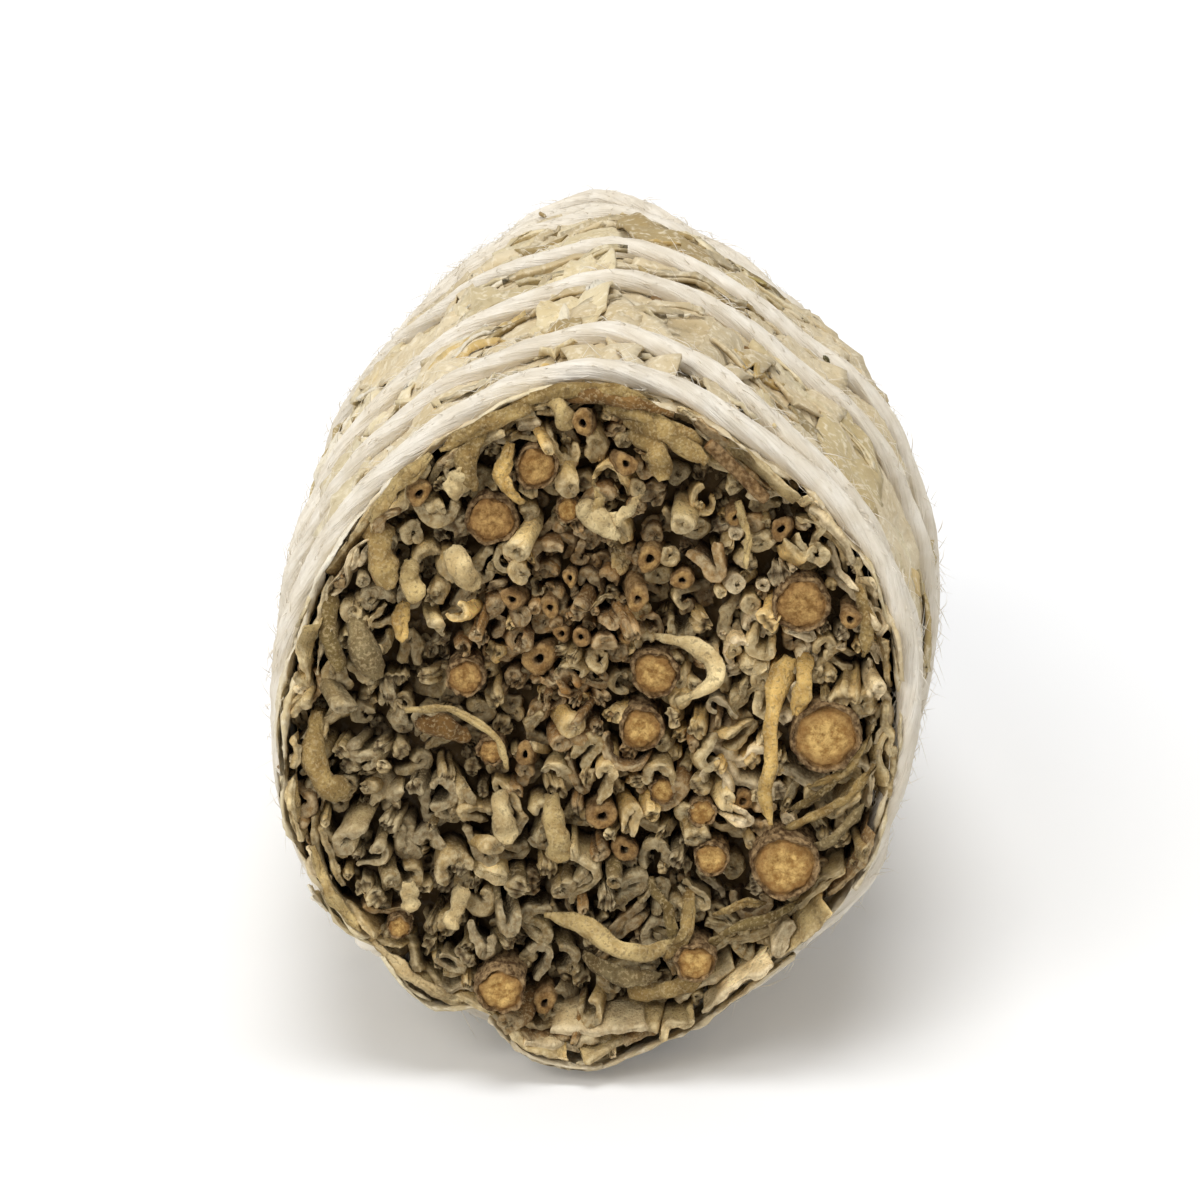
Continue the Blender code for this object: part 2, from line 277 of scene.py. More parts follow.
# How far the bundle bends to the right, both in millimetres: places behind the face, and distances.
BEND_ROUTE = [(0, 0.0), (8, 0.7), (40, 0.9), (62, 0.2), (90, -1.8), (102, -1.9)]
BEND_EASE = 10
EASE_SAMPLES = 9
WRAP_DEPTH = 1.5 * MM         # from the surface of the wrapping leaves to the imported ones
FLOOR_CLEARANCE = 0.15 * MM
PUFF = 0.42 * MM              # the leaves swell this much between the turns of the twine
GROOVE_HALF_WIDTH = 1.7 * MM
SIDE_SWELL, FRONT_SINK, RIDGE_HEIGHT = 0.65, 0.50, 0.11    # millimetres

# The twine's route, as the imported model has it: turns past the top, and millimetres from the face.
TWINE_RADIUS = 0.85 * MM
KNOT_TURN = 0.62
KNOT_PLACE = 5.6
TWINE_ROUTE = [
    (KNOT_TURN - 1, KNOT_PLACE), (-0.15, 3.0), (0, 1.2), (0.1, 1.0), (0.35, 1.6), (0.46, 11), (0.62, 20),
    (0.84, 27), (1, 23), (1.2, 24), (1.36, 27), (1.6, 66), (2, 66), (3, 84), (4, 86.8), (5, 89.6),
    (5.5, 70), (5.65, 63), (5.8, 59), (6, 33), (6.2, 35), (6.84, 14), (7, 9.6), (7.1, 4.9),
    (7 + KNOT_TURN, KNOT_PLACE),
]
ROUTE_START, ROUTE_END = TWINE_ROUTE[0][0], TWINE_ROUTE[-1][0]
WHOLE_TURNS = 8
TWINE_EASE = 0.18             # of a turn, over which its route bends

# The bundle's middle at the cut face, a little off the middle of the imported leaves' outline there.
CUT_CORNERS = corners_of(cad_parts["packed_leaves"])
CUT_CORNERS = CUT_CORNERS[CUT_CORNERS[:, 1] < FACE_Y + 0.1 * MM]
AXIS_X, _, AXIS_Z = (CUT_CORNERS.min(axis=0) + CUT_CORNERS.max(axis=0)) / 2
AXIS_X += 0.25 * MM
AXIS_Z += 0.8 * MM            # the underside bulges more than the top


def eased(places, route, ease):
    """Heights of a route of straight stretches, with its corners rounded off."""
    spread = np.linspace(-ease / 2, ease / 2, EASE_SAMPLES)
    return np.interp(np.asarray(places)[..., None] + spread, *zip(*route)).mean(axis=-1)


def axis_x(y):
    """How far the bundle's middle line lies to the right."""
    bend = eased((y - FACE_Y) / MM, BEND_ROUTE, BEND_EASE)
    return AXIS_X + (bend - eased(0.0, BEND_ROUTE, BEND_EASE)) * MM


def axis_z(y):
    """Height of the bundle's middle line."""
    return AXIS_Z - (y - FACE_Y) * math.tan(AXIS_SLOPE)


def outward(angle):
    """The way out from the bundle at an angle round it."""
    return np.stack([np.cos(angle), 0 * angle, np.sin(angle)], axis=-1)


def angle_of(shape):
    """Angles round the bundle of points across it, given as how far right and how far up."""
    return np.arctan2(shape[..., 1], shape[..., 0])


ANGLE_STEPS, ALONG_STEPS = 96, 48
GIRTH_END = PACK_END_Y - 4.5 * MM
FAR_OUT = 60 * MM             # well outside the bundle


def measured_girth():
    """Radius of the leaves' surface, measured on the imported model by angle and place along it."""
    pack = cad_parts["packed_leaves"]
    corners = [vert.co for vert in pack.data.vertices]
    tree = BVHTree.FromPolygons(corners, [list(face.vertices) for face in pack.data.polygons])
    table = np.zeros((ANGLE_STEPS, ALONG_STEPS))
    for j, y in enumerate(np.linspace(FACE_Y + 0.2 * MM, GIRTH_END, ALONG_STEPS)):
        middle = Vector((axis_x(y), y, axis_z(y)))
        for i in range(ANGLE_STEPS):
            angle = TURN * i / ANGLE_STEPS
            out = Vector((math.cos(angle), 0.0, math.sin(angle)))
            table[i, j] = FAR_OUT - tree.ray_cast(middle + out * FAR_OUT, -out)[3] + WRAP_DEPTH
    return sum(np.roll(table, shift, axis=0) * share for shift, share in ((-1, 0.25), (0, 0.5), (1, 0.25)))


GIRTH = measured_girth()


def fullness(angle, y):
    """What the loose outer leaves add to the measured girth: more at the sides, half way along.

    The long leaves and stems inside show through as shallow ridges that run along the bundle.
    """
    back = (np.asarray(y) - FACE_Y) / MM
    right = np.cos(angle)
    swollen = (SIDE_SWELL * (0.2 + 0.8 * right ** 2)
               * smooth((back - 22) / 20) * (1 - smooth((back - 70) / 20)))
    sunk = (FRONT_SINK * smooth((right - 0.3) / 0.5)
            * smooth((back - 2.2) / 4) * (1 - smooth((back - 18) / 12)))
    ridges = sum(share * np.sin(waves * angle + sway * np.sin(back / reach + start) + turn)
                 for share, waves, sway, reach, start, turn in
                 ((1, 9, 1.3, 26, 0, 0.5), (0.7, 5, 2, 43, 2, 0), (0.8, 14, -1.7, 32, 1, 0)))
    ridges = ridges + 0.3 * np.sin(22 * angle + back / 15)
    return (swollen - sunk + RIDGE_HEIGHT * ridges * smooth((back - 1.5) / 5)) * MM


def surface(angle, y):
    """Radius of the leaves' surface at angles and places along the bundle."""
    i = (np.asarray(angle) / TURN) % 1.0 * ANGLE_STEPS
    j = np.clip((np.asarray(y) - FACE_Y) / (GIRTH_END - FACE_Y), 0, 1) * (ALONG_STEPS - 1.001)
    i0, j0 = i.astype(int), j.astype(int)
    fi, fj = i - i0, j - j0
    i0, i1 = i0 % ANGLE_STEPS, (i0 + 1) % ANGLE_STEPS
    near, beyond = (GIRTH[i0, k] * (1 - fi) + GIRTH[i1, k] * fi for k in (j0, j0 + 1))
    past_end = np.maximum(np.asarray(y) - GIRTH_END, 0)
    return near * (1 - fj) + beyond * fj - 0.2 * past_end + fullness(angle, y)


def twine_along(turn):
    """Distance of the twine from the cut face, at numbers of turns past its first pass of the top."""
    return eased(turn, TWINE_ROUTE, TWINE_EASE) * MM


def twine_near(angle, y):
    """How close each point is to a turn of the twine: 1 under it, 0 well away from it."""
    start = (0.25 - np.asarray(angle) / TURN) % 1.0
    apart = np.full(np.shape(start), 1.0)
    for whole in range(-1, WHOLE_TURNS):
        turn = start + whole
        gap = np.abs(FACE_Y + twine_along(turn) - y)
        apart = np.where((turn > ROUTE_START) & (turn < ROUTE_END), np.minimum(apart, gap), apart)
    return np.exp(-(apart / GROOVE_HALF_WIDTH) ** 2)


def on_bundle(angle, y, out):
    """Points that stand `out` from the leaves' surface, and never below what the bundle lies on."""
    radius = surface(angle, y) + out
    x = axis_x(y) + radius * np.cos(angle)
    z = axis_z(y) + radius * np.sin(angle)
    return np.stack([x, y + 0 * x, np.maximum(z, FLOOR_CLEARANCE)], axis=-1)


# ---------------------------------------------------------------- finishes


class Finish:
    """A short way to wire one procedural material; sizes are in millimetres."""

    def __init__(self, name):
        self.material = bpy.data.materials.new(name)
        self.material.use_nodes = True
        self.tree = self.material.node_tree
        self.shader = self.tree.nodes["Principled BSDF"]
        self.place = self.node("ShaderNodeTexCoord").outputs["Object"]

    def node(self, kind, **settings):
        """One more node, with its settings."""
        made = self.tree.nodes.new(kind)
        for setting, value in settings.items():
            setattr(made, setting, value)
        return made

    def feed(self, socket, value):
        """Give a socket a number, a colour (red, green, blue) or another socket's value."""
        if isinstance(value, (int, float)):
            socket.default_value = value
        elif isinstance(value, tuple):
            socket.default_value = (*value, 1.0)
        else:
            self.tree.links.new(value, socket)

    def attribute(self, name, output="Fac"):
        """What a piece's points say under a name."""
        return self.node("ShaderNodeAttribute", attribute_name=name).outputs[output]

    def pattern(self, kind, size, stretch=(1, 1, 1), place=None):
        """A pattern whose features are about `size` across."""
        mapping = self.node("ShaderNodeMapping")
        mapping.inputs["Scale"].default_value = stretch
        self.feed(mapping.inputs["Vector"], place or self.place)
        pattern = self.node(kind)
        pattern.inputs["Scale"].default_value = 1 / (size * MM)
        self.feed(pattern.inputs["Vector"], mapping.outputs["Vector"])
        return pattern

    def noise(self, size, detail=4.0, stretch=(1, 1, 1), roughness=0.55, place=None):
        """Cloudy noise."""
        pattern = self.pattern("ShaderNodeTexNoise", size, stretch, place)
        pattern.inputs["Detail"].default_value = detail
        pattern.inputs["Roughness"].default_value = roughness
        return pattern.outputs["Fac"]

    def spread(self, value, low, high, to_high=1.0):
        """Stretch a value's range to 0 and 1, clamped at both ends."""
        span = self.node("ShaderNodeMapRange", interpolation_type="SMOOTHSTEP")
        for name, number in (("From Min", low), ("From Max", high), ("To Max", to_high), ("Value", value)):
            self.feed(span.inputs[name], number)
        return span.outputs["Result"]

    def clouds(self, size, low, high, detail=4.0, stretch=(1, 1, 1), roughness=0.55):
        """Patches: 0 where the noise is low and 1 where it is high."""
        return self.spread(self.noise(size, detail, stretch, roughness), low, high)

    def behind(self, start, end):
        """0 and 1 at two places along the bundle."""
        parts = self.node("ShaderNodeSeparateXYZ")
        self.feed(parts.inputs["Vector"], self.place)
        return self.spread(parts.outputs["Y"], start, end)

    def colour_mix(self, factor, first, second, blend="MIX"):
        """Two colours mixed, with a share of the second."""
        mix = self.node("ShaderNodeMix", data_type="RGBA", blend_type=blend)
        for k, value in ((0, factor), (6, first), (7, second)):
            self.feed(mix.inputs[k], value)
        return mix.outputs[2]

    def maths(self, operation, first, second):
        """One sum on two values."""
        node = self.node("ShaderNodeMath", operation=operation)
        self.feed(node.inputs[0], first)
        self.feed(node.inputs[1], second)
        return node.outputs[0]

    def over(self, colour, where, share, top, blend="MIX"):
        """Lay a share of another colour over this one, where a pattern says."""
        return self.colour_mix(self.maths("MULTIPLY", where, share), colour, top, blend)

    def done(self, colour, roughness, height, distance, strength, sheen=0.0):
        """Wire the colour, roughness and relief to the shader."""
        inputs = self.shader.inputs
        self.feed(inputs["Base Color"], colour)
        inputs["Roughness"].default_value = roughness
        inputs["Specular IOR Level"].default_value = 0.2
        if sheen:
            inputs["Sheen Weight"].default_value = sheen
            inputs["Sheen Roughness"].default_value = 0.6
            inputs["Sheen Tint"].default_value = (1.0, 0.88, 0.66, 1.0)
        bump = self.node("ShaderNodeBump")
        for name, value in (("Strength", strength), ("Distance", distance * MM), ("Height", height)):
            self.feed(bump.inputs[name], value)
        self.feed(inputs["Normal"], bump.outputs["Normal"])
        return self.material


def curled_leaf_finish():
    """Felted dry leaf. `cut` is 1 on its cut edge, which is paler, partly its own colour and partly a painted
    highlight; `seam` is 1 down the middle of that edge, which is painted with shade.
    """
    f = Finish("curled_sage")
    tint = f.attribute("tint", "Color")
    shaded, lit, bright = (f.colour_mix(1.0, tint, share, "MULTIPLY")
                           for share in ((0.79, 0.65, 0.43), (1.36, 1.25, 0.98), (1.3, 1.3, 1.3)))
    body = f.colour_mix(f.clouds(1.2, 0.33, 0.67), shaded, lit)
    body = f.over(body, f.clouds(0.22, 0.49, 0.63, 3.0), 0.36, (0.62, 0.48, 0.26))
    body = f.over(body, f.clouds(0.30, 0.52, 0.67), 0.50, (0.095, 0.052, 0.016))
    # The cut edge: paler, partly the cut's own colour and partly a painted highlight, mixed with a lightened
    # copy of the tint.
    edge = f.colour_mix(f.clouds(0.4, 0.35, 0.68), (0.90, 0.735, 0.44), (0.44, 0.285, 0.115))
    edge = f.colour_mix(0.45, edge, bright)
    colour = f.over(body, f.attribute("cut"), 0.80, edge)
    # Painted shade down the sunk middle of the cut edge.
    colour = f.over(colour, f.attribute("seam"), 0.85, (0.080, 0.042, 0.014))
    # Painted shade: the leaves darken deeper behind the cut face, in the gaps between the cut ends.
    colour = f.over(colour, f.behind(FACE_Y + 0.2 * MM, FACE_Y + 4.0 * MM), 0.88, (0.058, 0.026, 0.006))
    return f.done(colour, 0.95, f.noise(0.20), 0.22, 1.0, sheen=0.05)


def tip_leaf_finish():
    """Felted dry leaf of the tips: pale, with olive blotches, and darker further back among the tips as
    painted shade.
    """
    f = Finish("tip_sage")
    colour = f.colour_mix(f.clouds(1.8, 0.3, 0.7), f.attribute("tint", "Color"), (0.70, 0.66, 0.54),
                          "MULTIPLY")
    colour = f.over(colour, f.clouds(0.4, 0.58, 0.72, 2.0), 0.35, (0.30, 0.23, 0.11))
    # Painted shade: the tips darken further back, between them.
    colour = f.over(colour, f.behind(TIPS_Y - 5.0 * MM, TIPS_Y - 10.0 * MM), 0.6, (0.10, 0.08, 0.045))
    return f.done(colour, 0.92, f.noise(0.28, 3.0), 0.10, 0.7, sheen=0.12)


def pressed_leaf_finish():
    """Pressed outer leaf: pale and pebbled, with olive streaks painted as the shade in its creases, a tint of
    its own, and painted shade where `hollow` says.
    """
    f = Finish("pressed_sage")
    colour = f.colour_mix(f.clouds(3.2, 0.35, 0.68, 3.0), f.attribute("tint", "Color"), (0.90, 0.86, 0.78),
                          "MULTIPLY")
    colour = f.over(colour, f.clouds(8.0, 0.42, 0.62, 3.0, (1, 0.4, 1)), 0.8, (0.87, 0.83, 0.73), "MULTIPLY")
    # Painted shade: olive streaks along the leaf stand for the shade in its creases.
    colour = f.over(colour, f.clouds(0.9, 0.58, 0.73, 5.0, (1, 0.55, 1), 0.65), 0.42, (0.34, 0.255, 0.125))
    colour = f.over(colour, f.clouds(0.5, 0.50, 0.68, 3.0), 0.5, (0.84, 0.76, 0.59))
    colour = f.over(colour, f.clouds(0.35, 0.56, 0.70), 0.35, (0.30, 0.22, 0.10))
    # `hollow` is painted shade: near black-brown on the core close behind the face.
    colour = f.over(colour, f.attribute("hollow"), 0.85, (0.060, 0.030, 0.009))
    pebble = f.pattern("ShaderNodeTexVoronoi", 0.8).outputs["Distance"]
    return f.done(colour, 0.9, f.maths("ADD", f.noise(0.5, 3.0), pebble), 0.16, 0.7, sheen=0.15)


def wood_finish():
    """Cut sage wood. `bark` is 1 on the bark, and inside the holes of the hollow stems as painted shade;
    `rust` 1 for browner wood, `edge` 1 round the pith.
    """
    f = Finish("stem_wood")
    grain = f.clouds(0.55, 0.34, 0.68, 6.0, roughness=0.7)
    pith = f.colour_mix(grain, (0.27, 0.135, 0.033), (0.69, 0.450, 0.158))
    pith = f.over(pith, f.clouds(0.26, 0.58, 0.72, 3.0), 0.60, (0.22, 0.105, 0.030))
    pith = f.over(pith, f.attribute("edge"), 0.75, (0.25, 0.125, 0.038))
    rust = f.colour_mix(grain, (0.125, 0.058, 0.017), (0.41, 0.230, 0.080))
    flakes = f.clouds(0.34, 0.35, 0.68, 5.0, (1, 0.5, 1))
    bark = f.colour_mix(flakes, (0.080, 0.042, 0.016), (0.36, 0.240, 0.115))
    colour = f.colour_mix(f.attribute("bark"), f.colour_mix(f.attribute("rust"), pith, rust), bark)
    return f.done(colour, 0.9, f.noise(0.20, stretch=(1, 0.5, 1)), 0.20, 0.9)


def cotton_finish():
    """Soft off-white cotton; fine fibres run along `lay`, which follows the twist of the plies, and the
    grooves between the plies are darkened as painted shade.
    """
    f = Finish("cotton_twine")
    colour = f.colour_mix(f.clouds(2.2, 0.3, 0.7, 3.0), (0.74, 0.665, 0.54), (0.87, 0.815, 0.715))
    fibre = f.noise(0.13, stretch=(0.07, 1, 1), place=f.attribute("lay", "Vector"))
    colour = f.colour_mix(f.spread(fibre, 0.52, 0.75, 0.40), colour, (0.50, 0.43, 0.33))
    # Painted shade in the grooves between the plies.
    colour = f.over(colour, f.attribute("groove_shade"), 0.35, (0.56, 0.49, 0.39))
    colour = f.over(colour, f.clouds(0.5, 0.66, 0.76), 0.30, (0.45, 0.38, 0.24))
    return f.done(colour, 0.95, fibre, 0.22, 0.8, sheen=0.30)


# Colours of single leaves as (red, green, blue), from the greys of the cut face to the pale outside.
SAGE_TINTS = {
    "grey": (0.225, 0.185, 0.110),
    "khaki": (0.340, 0.255, 0.120),
    "straw": (0.620, 0.450, 0.190),
    "brown": (0.215, 0.125, 0.047),
    "rust": (0.290, 0.165, 0.060),
    "olive": (0.180, 0.138, 0.062),
    "pale": (0.500, 0.405, 0.225),
    "cream": (0.670, 0.580, 0.390),
    "bleached": (0.780, 0.725, 0.600),
    "tan": (0.605, 0.512, 0.348),
}


def tint_of(shares, draw, spread=0.26):
    """One leaf's colour, near one of the named tints."""
    return np.array(SAGE_TINTS[pick(shares, draw)]) * draw.uniform(1 - spread, 1 + spread)


# ---------------------------------------------------------------- the cut face: plan of the curls

CELL = 0.1 * MM
PLAN_HALF = 24 * MM
PLAN_SIZE = int(2 * PLAN_HALF / CELL)
LINE_POINTS = 16              # of a leaf's middle line, when the leaves are laid out
DENSE_POINTS = 41             # of the same line, when it is drawn
EDGE_POINTS = 17              # and along each of its sides, when it is modelled

# How sharply a leaf of each kind bends, in radians over its whole width, at shares of the width.
BENDS = {
    "tube": lambda share, draw: draw.uniform(6.0, 7.2) * (1.18 - 0.36 * share),
    "curl": lambda share, draw: draw.uniform(2.8, 5.0) * (0.8 + 0.4 * share),
    "scroll": lambda share, draw: draw.uniform(7.5, 10.5) * np.abs(2 * share - 1) ** 1.3,
    "ess": lambda share, draw: draw.uniform(5.5, 8.0) * np.where(share < 0.5, 1.0, -1.0),
    "hook": lambda share, draw: np.where(share < 0.45, 0.4, draw.uniform(5.5, 8.5)),
    "fold": lambda share, draw: (draw.uniform(14, 18) * np.exp(-((share - 0.5) / 0.11) ** 2)
                                 + draw.uniform(-0.8, 0.8)),
    "knob": lambda share, draw: draw.uniform(-1.5, 1.5) + 0 * share,
    "wave": lambda share, draw: (draw.uniform(4, 8)
                                 * np.sin(TURN * (draw.uniform(0.8, 1.5) * share + draw.uniform()))),
}
ROLLED = ("tube", "curl", "scroll", "hook", "fold")

# What grows in each part of the bundle: kinds of curl, widths and half thicknesses in millimetres,
# and tints. Kinds and tints have their shares.
ZONES = {
    "core": (dict(tube=6, scroll=1, curl=4, knob=3, hook=1), (1.5, 3.0), (0.14, 0.22),
             dict(brown=4, rust=5, khaki=3, straw=1.5)),
    "rim": (dict(wave=4, fold=3, hook=2, curl=3, knob=1), (2.0, 4.6), (0.15, 0.26),
            dict(khaki=3, tan=4, pale=3, brown=1)),
    "right": (dict(tube=5, curl=5, hook=4, knob=4, fold=3, wave=2), (1.7, 4.6), (0.18, 0.30),
              dict(khaki=3, straw=3, pale=4, brown=1.5, tan=4)),
    "left": (dict(knob=6, curl=4, hook=4, fold=3, ess=1, tube=3, wave=1), (1.7, 4.4), (0.20, 0.36),
             dict(grey=5, khaki=4, olive=2, pale=2)),
    "low": (dict(knob=4, curl=4, fold=4, hook=3, wave=2, tube=2), (1.8, 5.0), (0.18, 0.32),
            dict(khaki=4, grey=3, olive=4, brown=3, pale=0.6)),
    "high": (dict(tube=6, curl=5, hook=4, knob=5, fold=2, ess=1), (1.7, 4.6), (0.18, 0.32),
             dict(khaki=5, brown=3, rust=2, straw=2, olive=2, pale=2)),
    "tips": (dict(curl=4, scroll=3, ess=3, wave=4, hook=3, fold=3), (3.0, 7.0), (0.26, 0.42),
             dict(pale=4, khaki=3, cream=2, tan=3, grey=2)),
}
ZONE_SHADE = {"low": 0.82, "right": 1.12}

# The leaves that bend over in front of the cut face. Each has its middle line across the face in
# millimetres from the bundle's middle, how far it stands out at its root, middle and end, its width
# at the same places, how far it is rolled (0 flat, 3 a closed tube), and its tint.
BENT_LEAVES = [
    ([(12.0, 3.6), (11.1, 1.8), (10.8, -0.4), (10.7, -2.6), (10.4, -4.4), (10.8, -6.5)],
     (-0.8, 1.6, 1.4), (1.5, 0.65, 0.8), 1.1, "straw"),
    ([(12.9, 3.8), (12.8, 2.2), (12.3, 0.4)], (-1.0, 1.2, 0.9), (0.6, 0.95, 0.6), 1.6, "straw"),
    ([(3.7, 4.9), (5.8, 4.9), (7.3, 4.1), (7.6, 2.9), (6.5, 2.0), (5.1, 1.4)],
     (-0.4, 1.6, 1.6), (0.45, 0.85, 0.2), 1.3, "cream"),
    ([(-11.4, 0.5), (-8.7, 0.85), (-7.2, 0.1), (-5.7, -1.0), (-5.3, -3.1)],
     (0.6, 1.6, 0.9), (0.22, 0.36, 0.22), 0.6, "pale"),
    ([(-10.8, -0.5), (-9.0, -0.7), (-7.6, -1.5)], (-0.4, 0.6, -0.2), (0.8, 1.2, 0.6), 1.6, "brown"),
    ([(-0.9, 13.3), (0.2, 12.6), (1.5, 11.4)], (0.5, 1.5, 1.2), (0.8, 1.2, 0.6), 2.2, "cream"),
    ([(1.1, 12.3), (2.1, 13.1), (2.9, 14.0)], (1.0, 1.2, 0.6), (1.0, 0.7, 0.15), 0.9, "cream"),
    ([(0.2, 13.0), (0.4, 14.0), (0.0, 14.8)], (1.0, 1.0, 0.3), (0.7, 0.5, 0.15), 0.8, "pale"),
    ([(-8.7, 14.1), (-7.9, 14.9), (-7.2, 16.0)], (0.7, 1.1, 0.4), (1.5, 1.2, 0.2), 0.5, "cream"),
    ([(-5.0, 19.4), (-1.6, 20.3), (1.5, 20.3), (3.9, 19.3)],
     (0.2, 0.8, 0.4), (0.5, 0.9, 0.4), 0.9, "khaki"),
    ([(-3.2, 19.6), (0.2, 20.1), (3.0, 19.5), (4.8, 18.9)],
     (0.0, 0.9, 0.5), (0.4, 0.7, 0.3), 0.7, "brown"),
    ([(0.6, 19.2), (2.6, 18.9), (5.0, 18.0), (6.6, 17.2)],
     (-0.2, 0.8, 0.6), (0.6, 0.9, 0.5), 1.1, "khaki"),
    ([(2.0, 18.6), (4.4, 17.8), (6.8, 16.2)], (-0.2, 1.1, 1.4), (1.3, 1.4, 1.3), 2.7, "khaki"),
    ([(2.2, 17.6), (3.8, 16.9), (4.2, 15.0)], (-0.2, 1.1, 1.3), (1.1, 1.2, 1.3), 2.6, "khaki"),
    ([(-2.9, 19.9), (-2.0, 19.4), (-1.4, 18.0)], (0.2, 1.2, 1.0), (0.8, 1.0, 1.0), 2.3, "pale"),
    ([(-6.6, 17.9), (-7.7, 16.2), (-7.1, 14.2)], (0.0, 1.2, 0.8), (0.6, 1.1, 0.5), 1.2, "khaki"),
    ([(-5.0, 17.0), (-5.5, 15.2), (-4.2, 13.5)], (0.2, 1.3, 1.0), (0.6, 0.85, 0.4), 1.1, "straw"),
    ([(-3.4, 19.4), (-6.4, 18.4), (-9.2, 16.6)], (0.0, 0.8, 0.2), (0.5, 0.8, 0.4), 0.8, "khaki"),
    ([(-9.8, 16.2), (-11.9, 14.4), (-13.4, 12.2)], (-0.2, 0.8, 0.2), (0.5, 0.8, 0.4), 0.7, "pale"),
    ([(-8.7, 10.5), (-7.9, 9.4), (-7.1, 8.1)], (0.2, 1.5, 0.8), (0.9, 1.25, 0.9), 2.3, "cream"),
    ([(-11.2, 9.6), (-11.0, 8.6), (-10.7, 7.5)], (-0.2, 1.3, 1.2), (0.9, 1.2, 1.1), 2.5, "pale"),
    ([(-13.1, 11.8), (-12.9, 10.2), (-12.3, 8.2)], (-0.8, 1.0, 0.9), (1.4, 1.7, 1.5), 2.4, "khaki"),
    ([(-11.5, 7.0), (-11.7, 6.0), (-11.5, 4.9)], (-0.2, 1.0, 0.9), (0.7, 0.8, 0.25), 1.3, "straw"),
    ([(-14.6, 6.4), (-14.1, 4.4), (-13.1, 2.4)], (-1.2, 0.9, 0.6), (1.1, 1.5, 1.0), 2.0, "grey"),
    ([(-15.9, 7.4), (-16.1, 5.2), (-15.4, 2.8)], (-1.0, 0.7, 0.4), (0.8, 1.1, 0.8), 2.3, "olive"),
    ([(-16.9, 0.1), (-17.2, -2.6), (-16.3, -4.4), (-14.9, -4.8)],
     (-0.4, 0.9, 0.6), (0.7, 1.2, 1.5), 1.9, "khaki"),
    ([(-5.9, -5.0), (-5.5, -6.4), (-5.2, -7.8)], (-0.4, 1.1, 1.0), (0.8, 1.25, 0.8), 2.1, "cream"),
    ([(-2.6, -5.2), (-2.3, -7.0), (-1.9, -8.9)], (-0.6, 1.2, 1.1), (1.0, 1.2, 1.5), 2.6, "pale"),
    ([(-11.4, -10.6), (-11.2, -12.2)], (0.2, 1.2, 1.0), (0.7, 0.95, 0.8), 2.2, "cream"),
    ([(-8.0, -11.0), (-8.9, -13.3)], (0.2, 1.4, 1.1), (0.7, 0.9, 0.7), 2.0, "cream"),
    ([(-3.0, -12.7), (-0.5, -13.2), (1.4, -14.5), (3.3, -14.9), (5.1, -14.0)],
     (0.0, 1.3, 0.8), (0.4, 1.25, 0.4), 1.1, "pale"),
    ([(-0.6, -15.6), (1.8, -16.5), (4.2, -16.4)], (-0.6, 1.0, 0.3), (0.8, 1.1, 0.5), 0.9, "grey"),
    ([(2.2, -18.0), (4.4, -17.4), (6.6, -16.8)], (-0.6, 0.9, 0.3), (0.8, 1.2, 0.7), 1.9, "khaki"),
    ([(5.9, -11.2), (5.8, -13.4), (4.5, -15.2)], (-0.8, 1.2, 0.9), (0.5, 0.8, 0.5), 0.9, "khaki"),
    ([(3.5, -10.6), (4.6, -12.2), (4.9, -14.6)], (-0.9, 0.9, 0.4), (0.4, 0.7, 0.3), 0.9, "olive"),
    ([(6.8, -15.0), (8.5, -13.3), (10.8, -12.6), (12.8, -11.7)],
     (-0.4, 1.1, 0.0), (0.3, 0.55, 0.3), 0.6, "olive"),
    ([(7.4, -12.9), (8.8, -11.7), (10.6, -11.9)],
     (-0.6, 0.9, -0.2), (0.3, 0.45, 0.2), 0.6, "khaki"),
    ([(11.4, -7.4), (13.6, -6.1), (15.6, -4.8), (17.2, -3.0)],
     (-0.4, 0.9, 0.2), (0.35, 0.5, 0.3), 0.7, "khaki"),
    ([(12.6, -8.9), (14.6, -7.5), (16.6, -5.4)], (-0.3, 0.8, 0.1), (0.3, 0.5, 0.3), 0.6, "grey"),
    ([(11.9, -6.2), (14.0, -4.5), (16.3, -2.1)], (-0.5, 0.8, 0.0), (0.3, 0.4, 0.25), 0.5, "olive"),
    ([(13.2, -4.5), (15.2, -3.4), (16.9, -1.0)], (-0.3, 0.8, 0.1), (0.3, 0.45, 0.2), 0.6, "khaki"),
    ([(-17.3, -8.4), (-16.2, -11.4), (-14.4, -13.8)],
     (-0.2, 0.6, 0.1), (0.4, 0.7, 0.4), 0.7, "pale"),
    ([(-13.6, -14.6), (-11.4, -16.5), (-8.9, -18.1)],
     (-0.2, 0.7, 0.2), (0.4, 0.7, 0.4), 0.7, "tan"),
    ([(8.7, 13.2), (9.4, 11.6), (9.2, 9.5)], (-0.6, 0.9, 0.8), (0.3, 0.55, 0.3), 0.7, "pale"),
    ([(16.0, 8.2), (16.6, 6.2), (16.4, 4.0)], (-0.4, 0.9, 0.5), (0.5, 0.8, 0.4), 1.0, "khaki"),
]

# Where the cut ends are sunk and where they stand out, in millimetres from the bundle's middle.
HOLLOWS = [
    (-11, 4), (-2, -14), (0, 10), (6, 8), (-5, 2), (9, -11), (-10, 11), (-3, -4), (5, 15), (-8, -2),
    (-11, -13), (9, 14),
]
HUMPS = [(12, 1), (1, -3), (6, -7), (-6, 8), (1, 13), (-7, -12), (1, -10)]
RELIEF_REACH = 2.2            # millimetres
HUMP_RISE, HOLLOW_DEPTH = 0.8, 2.3

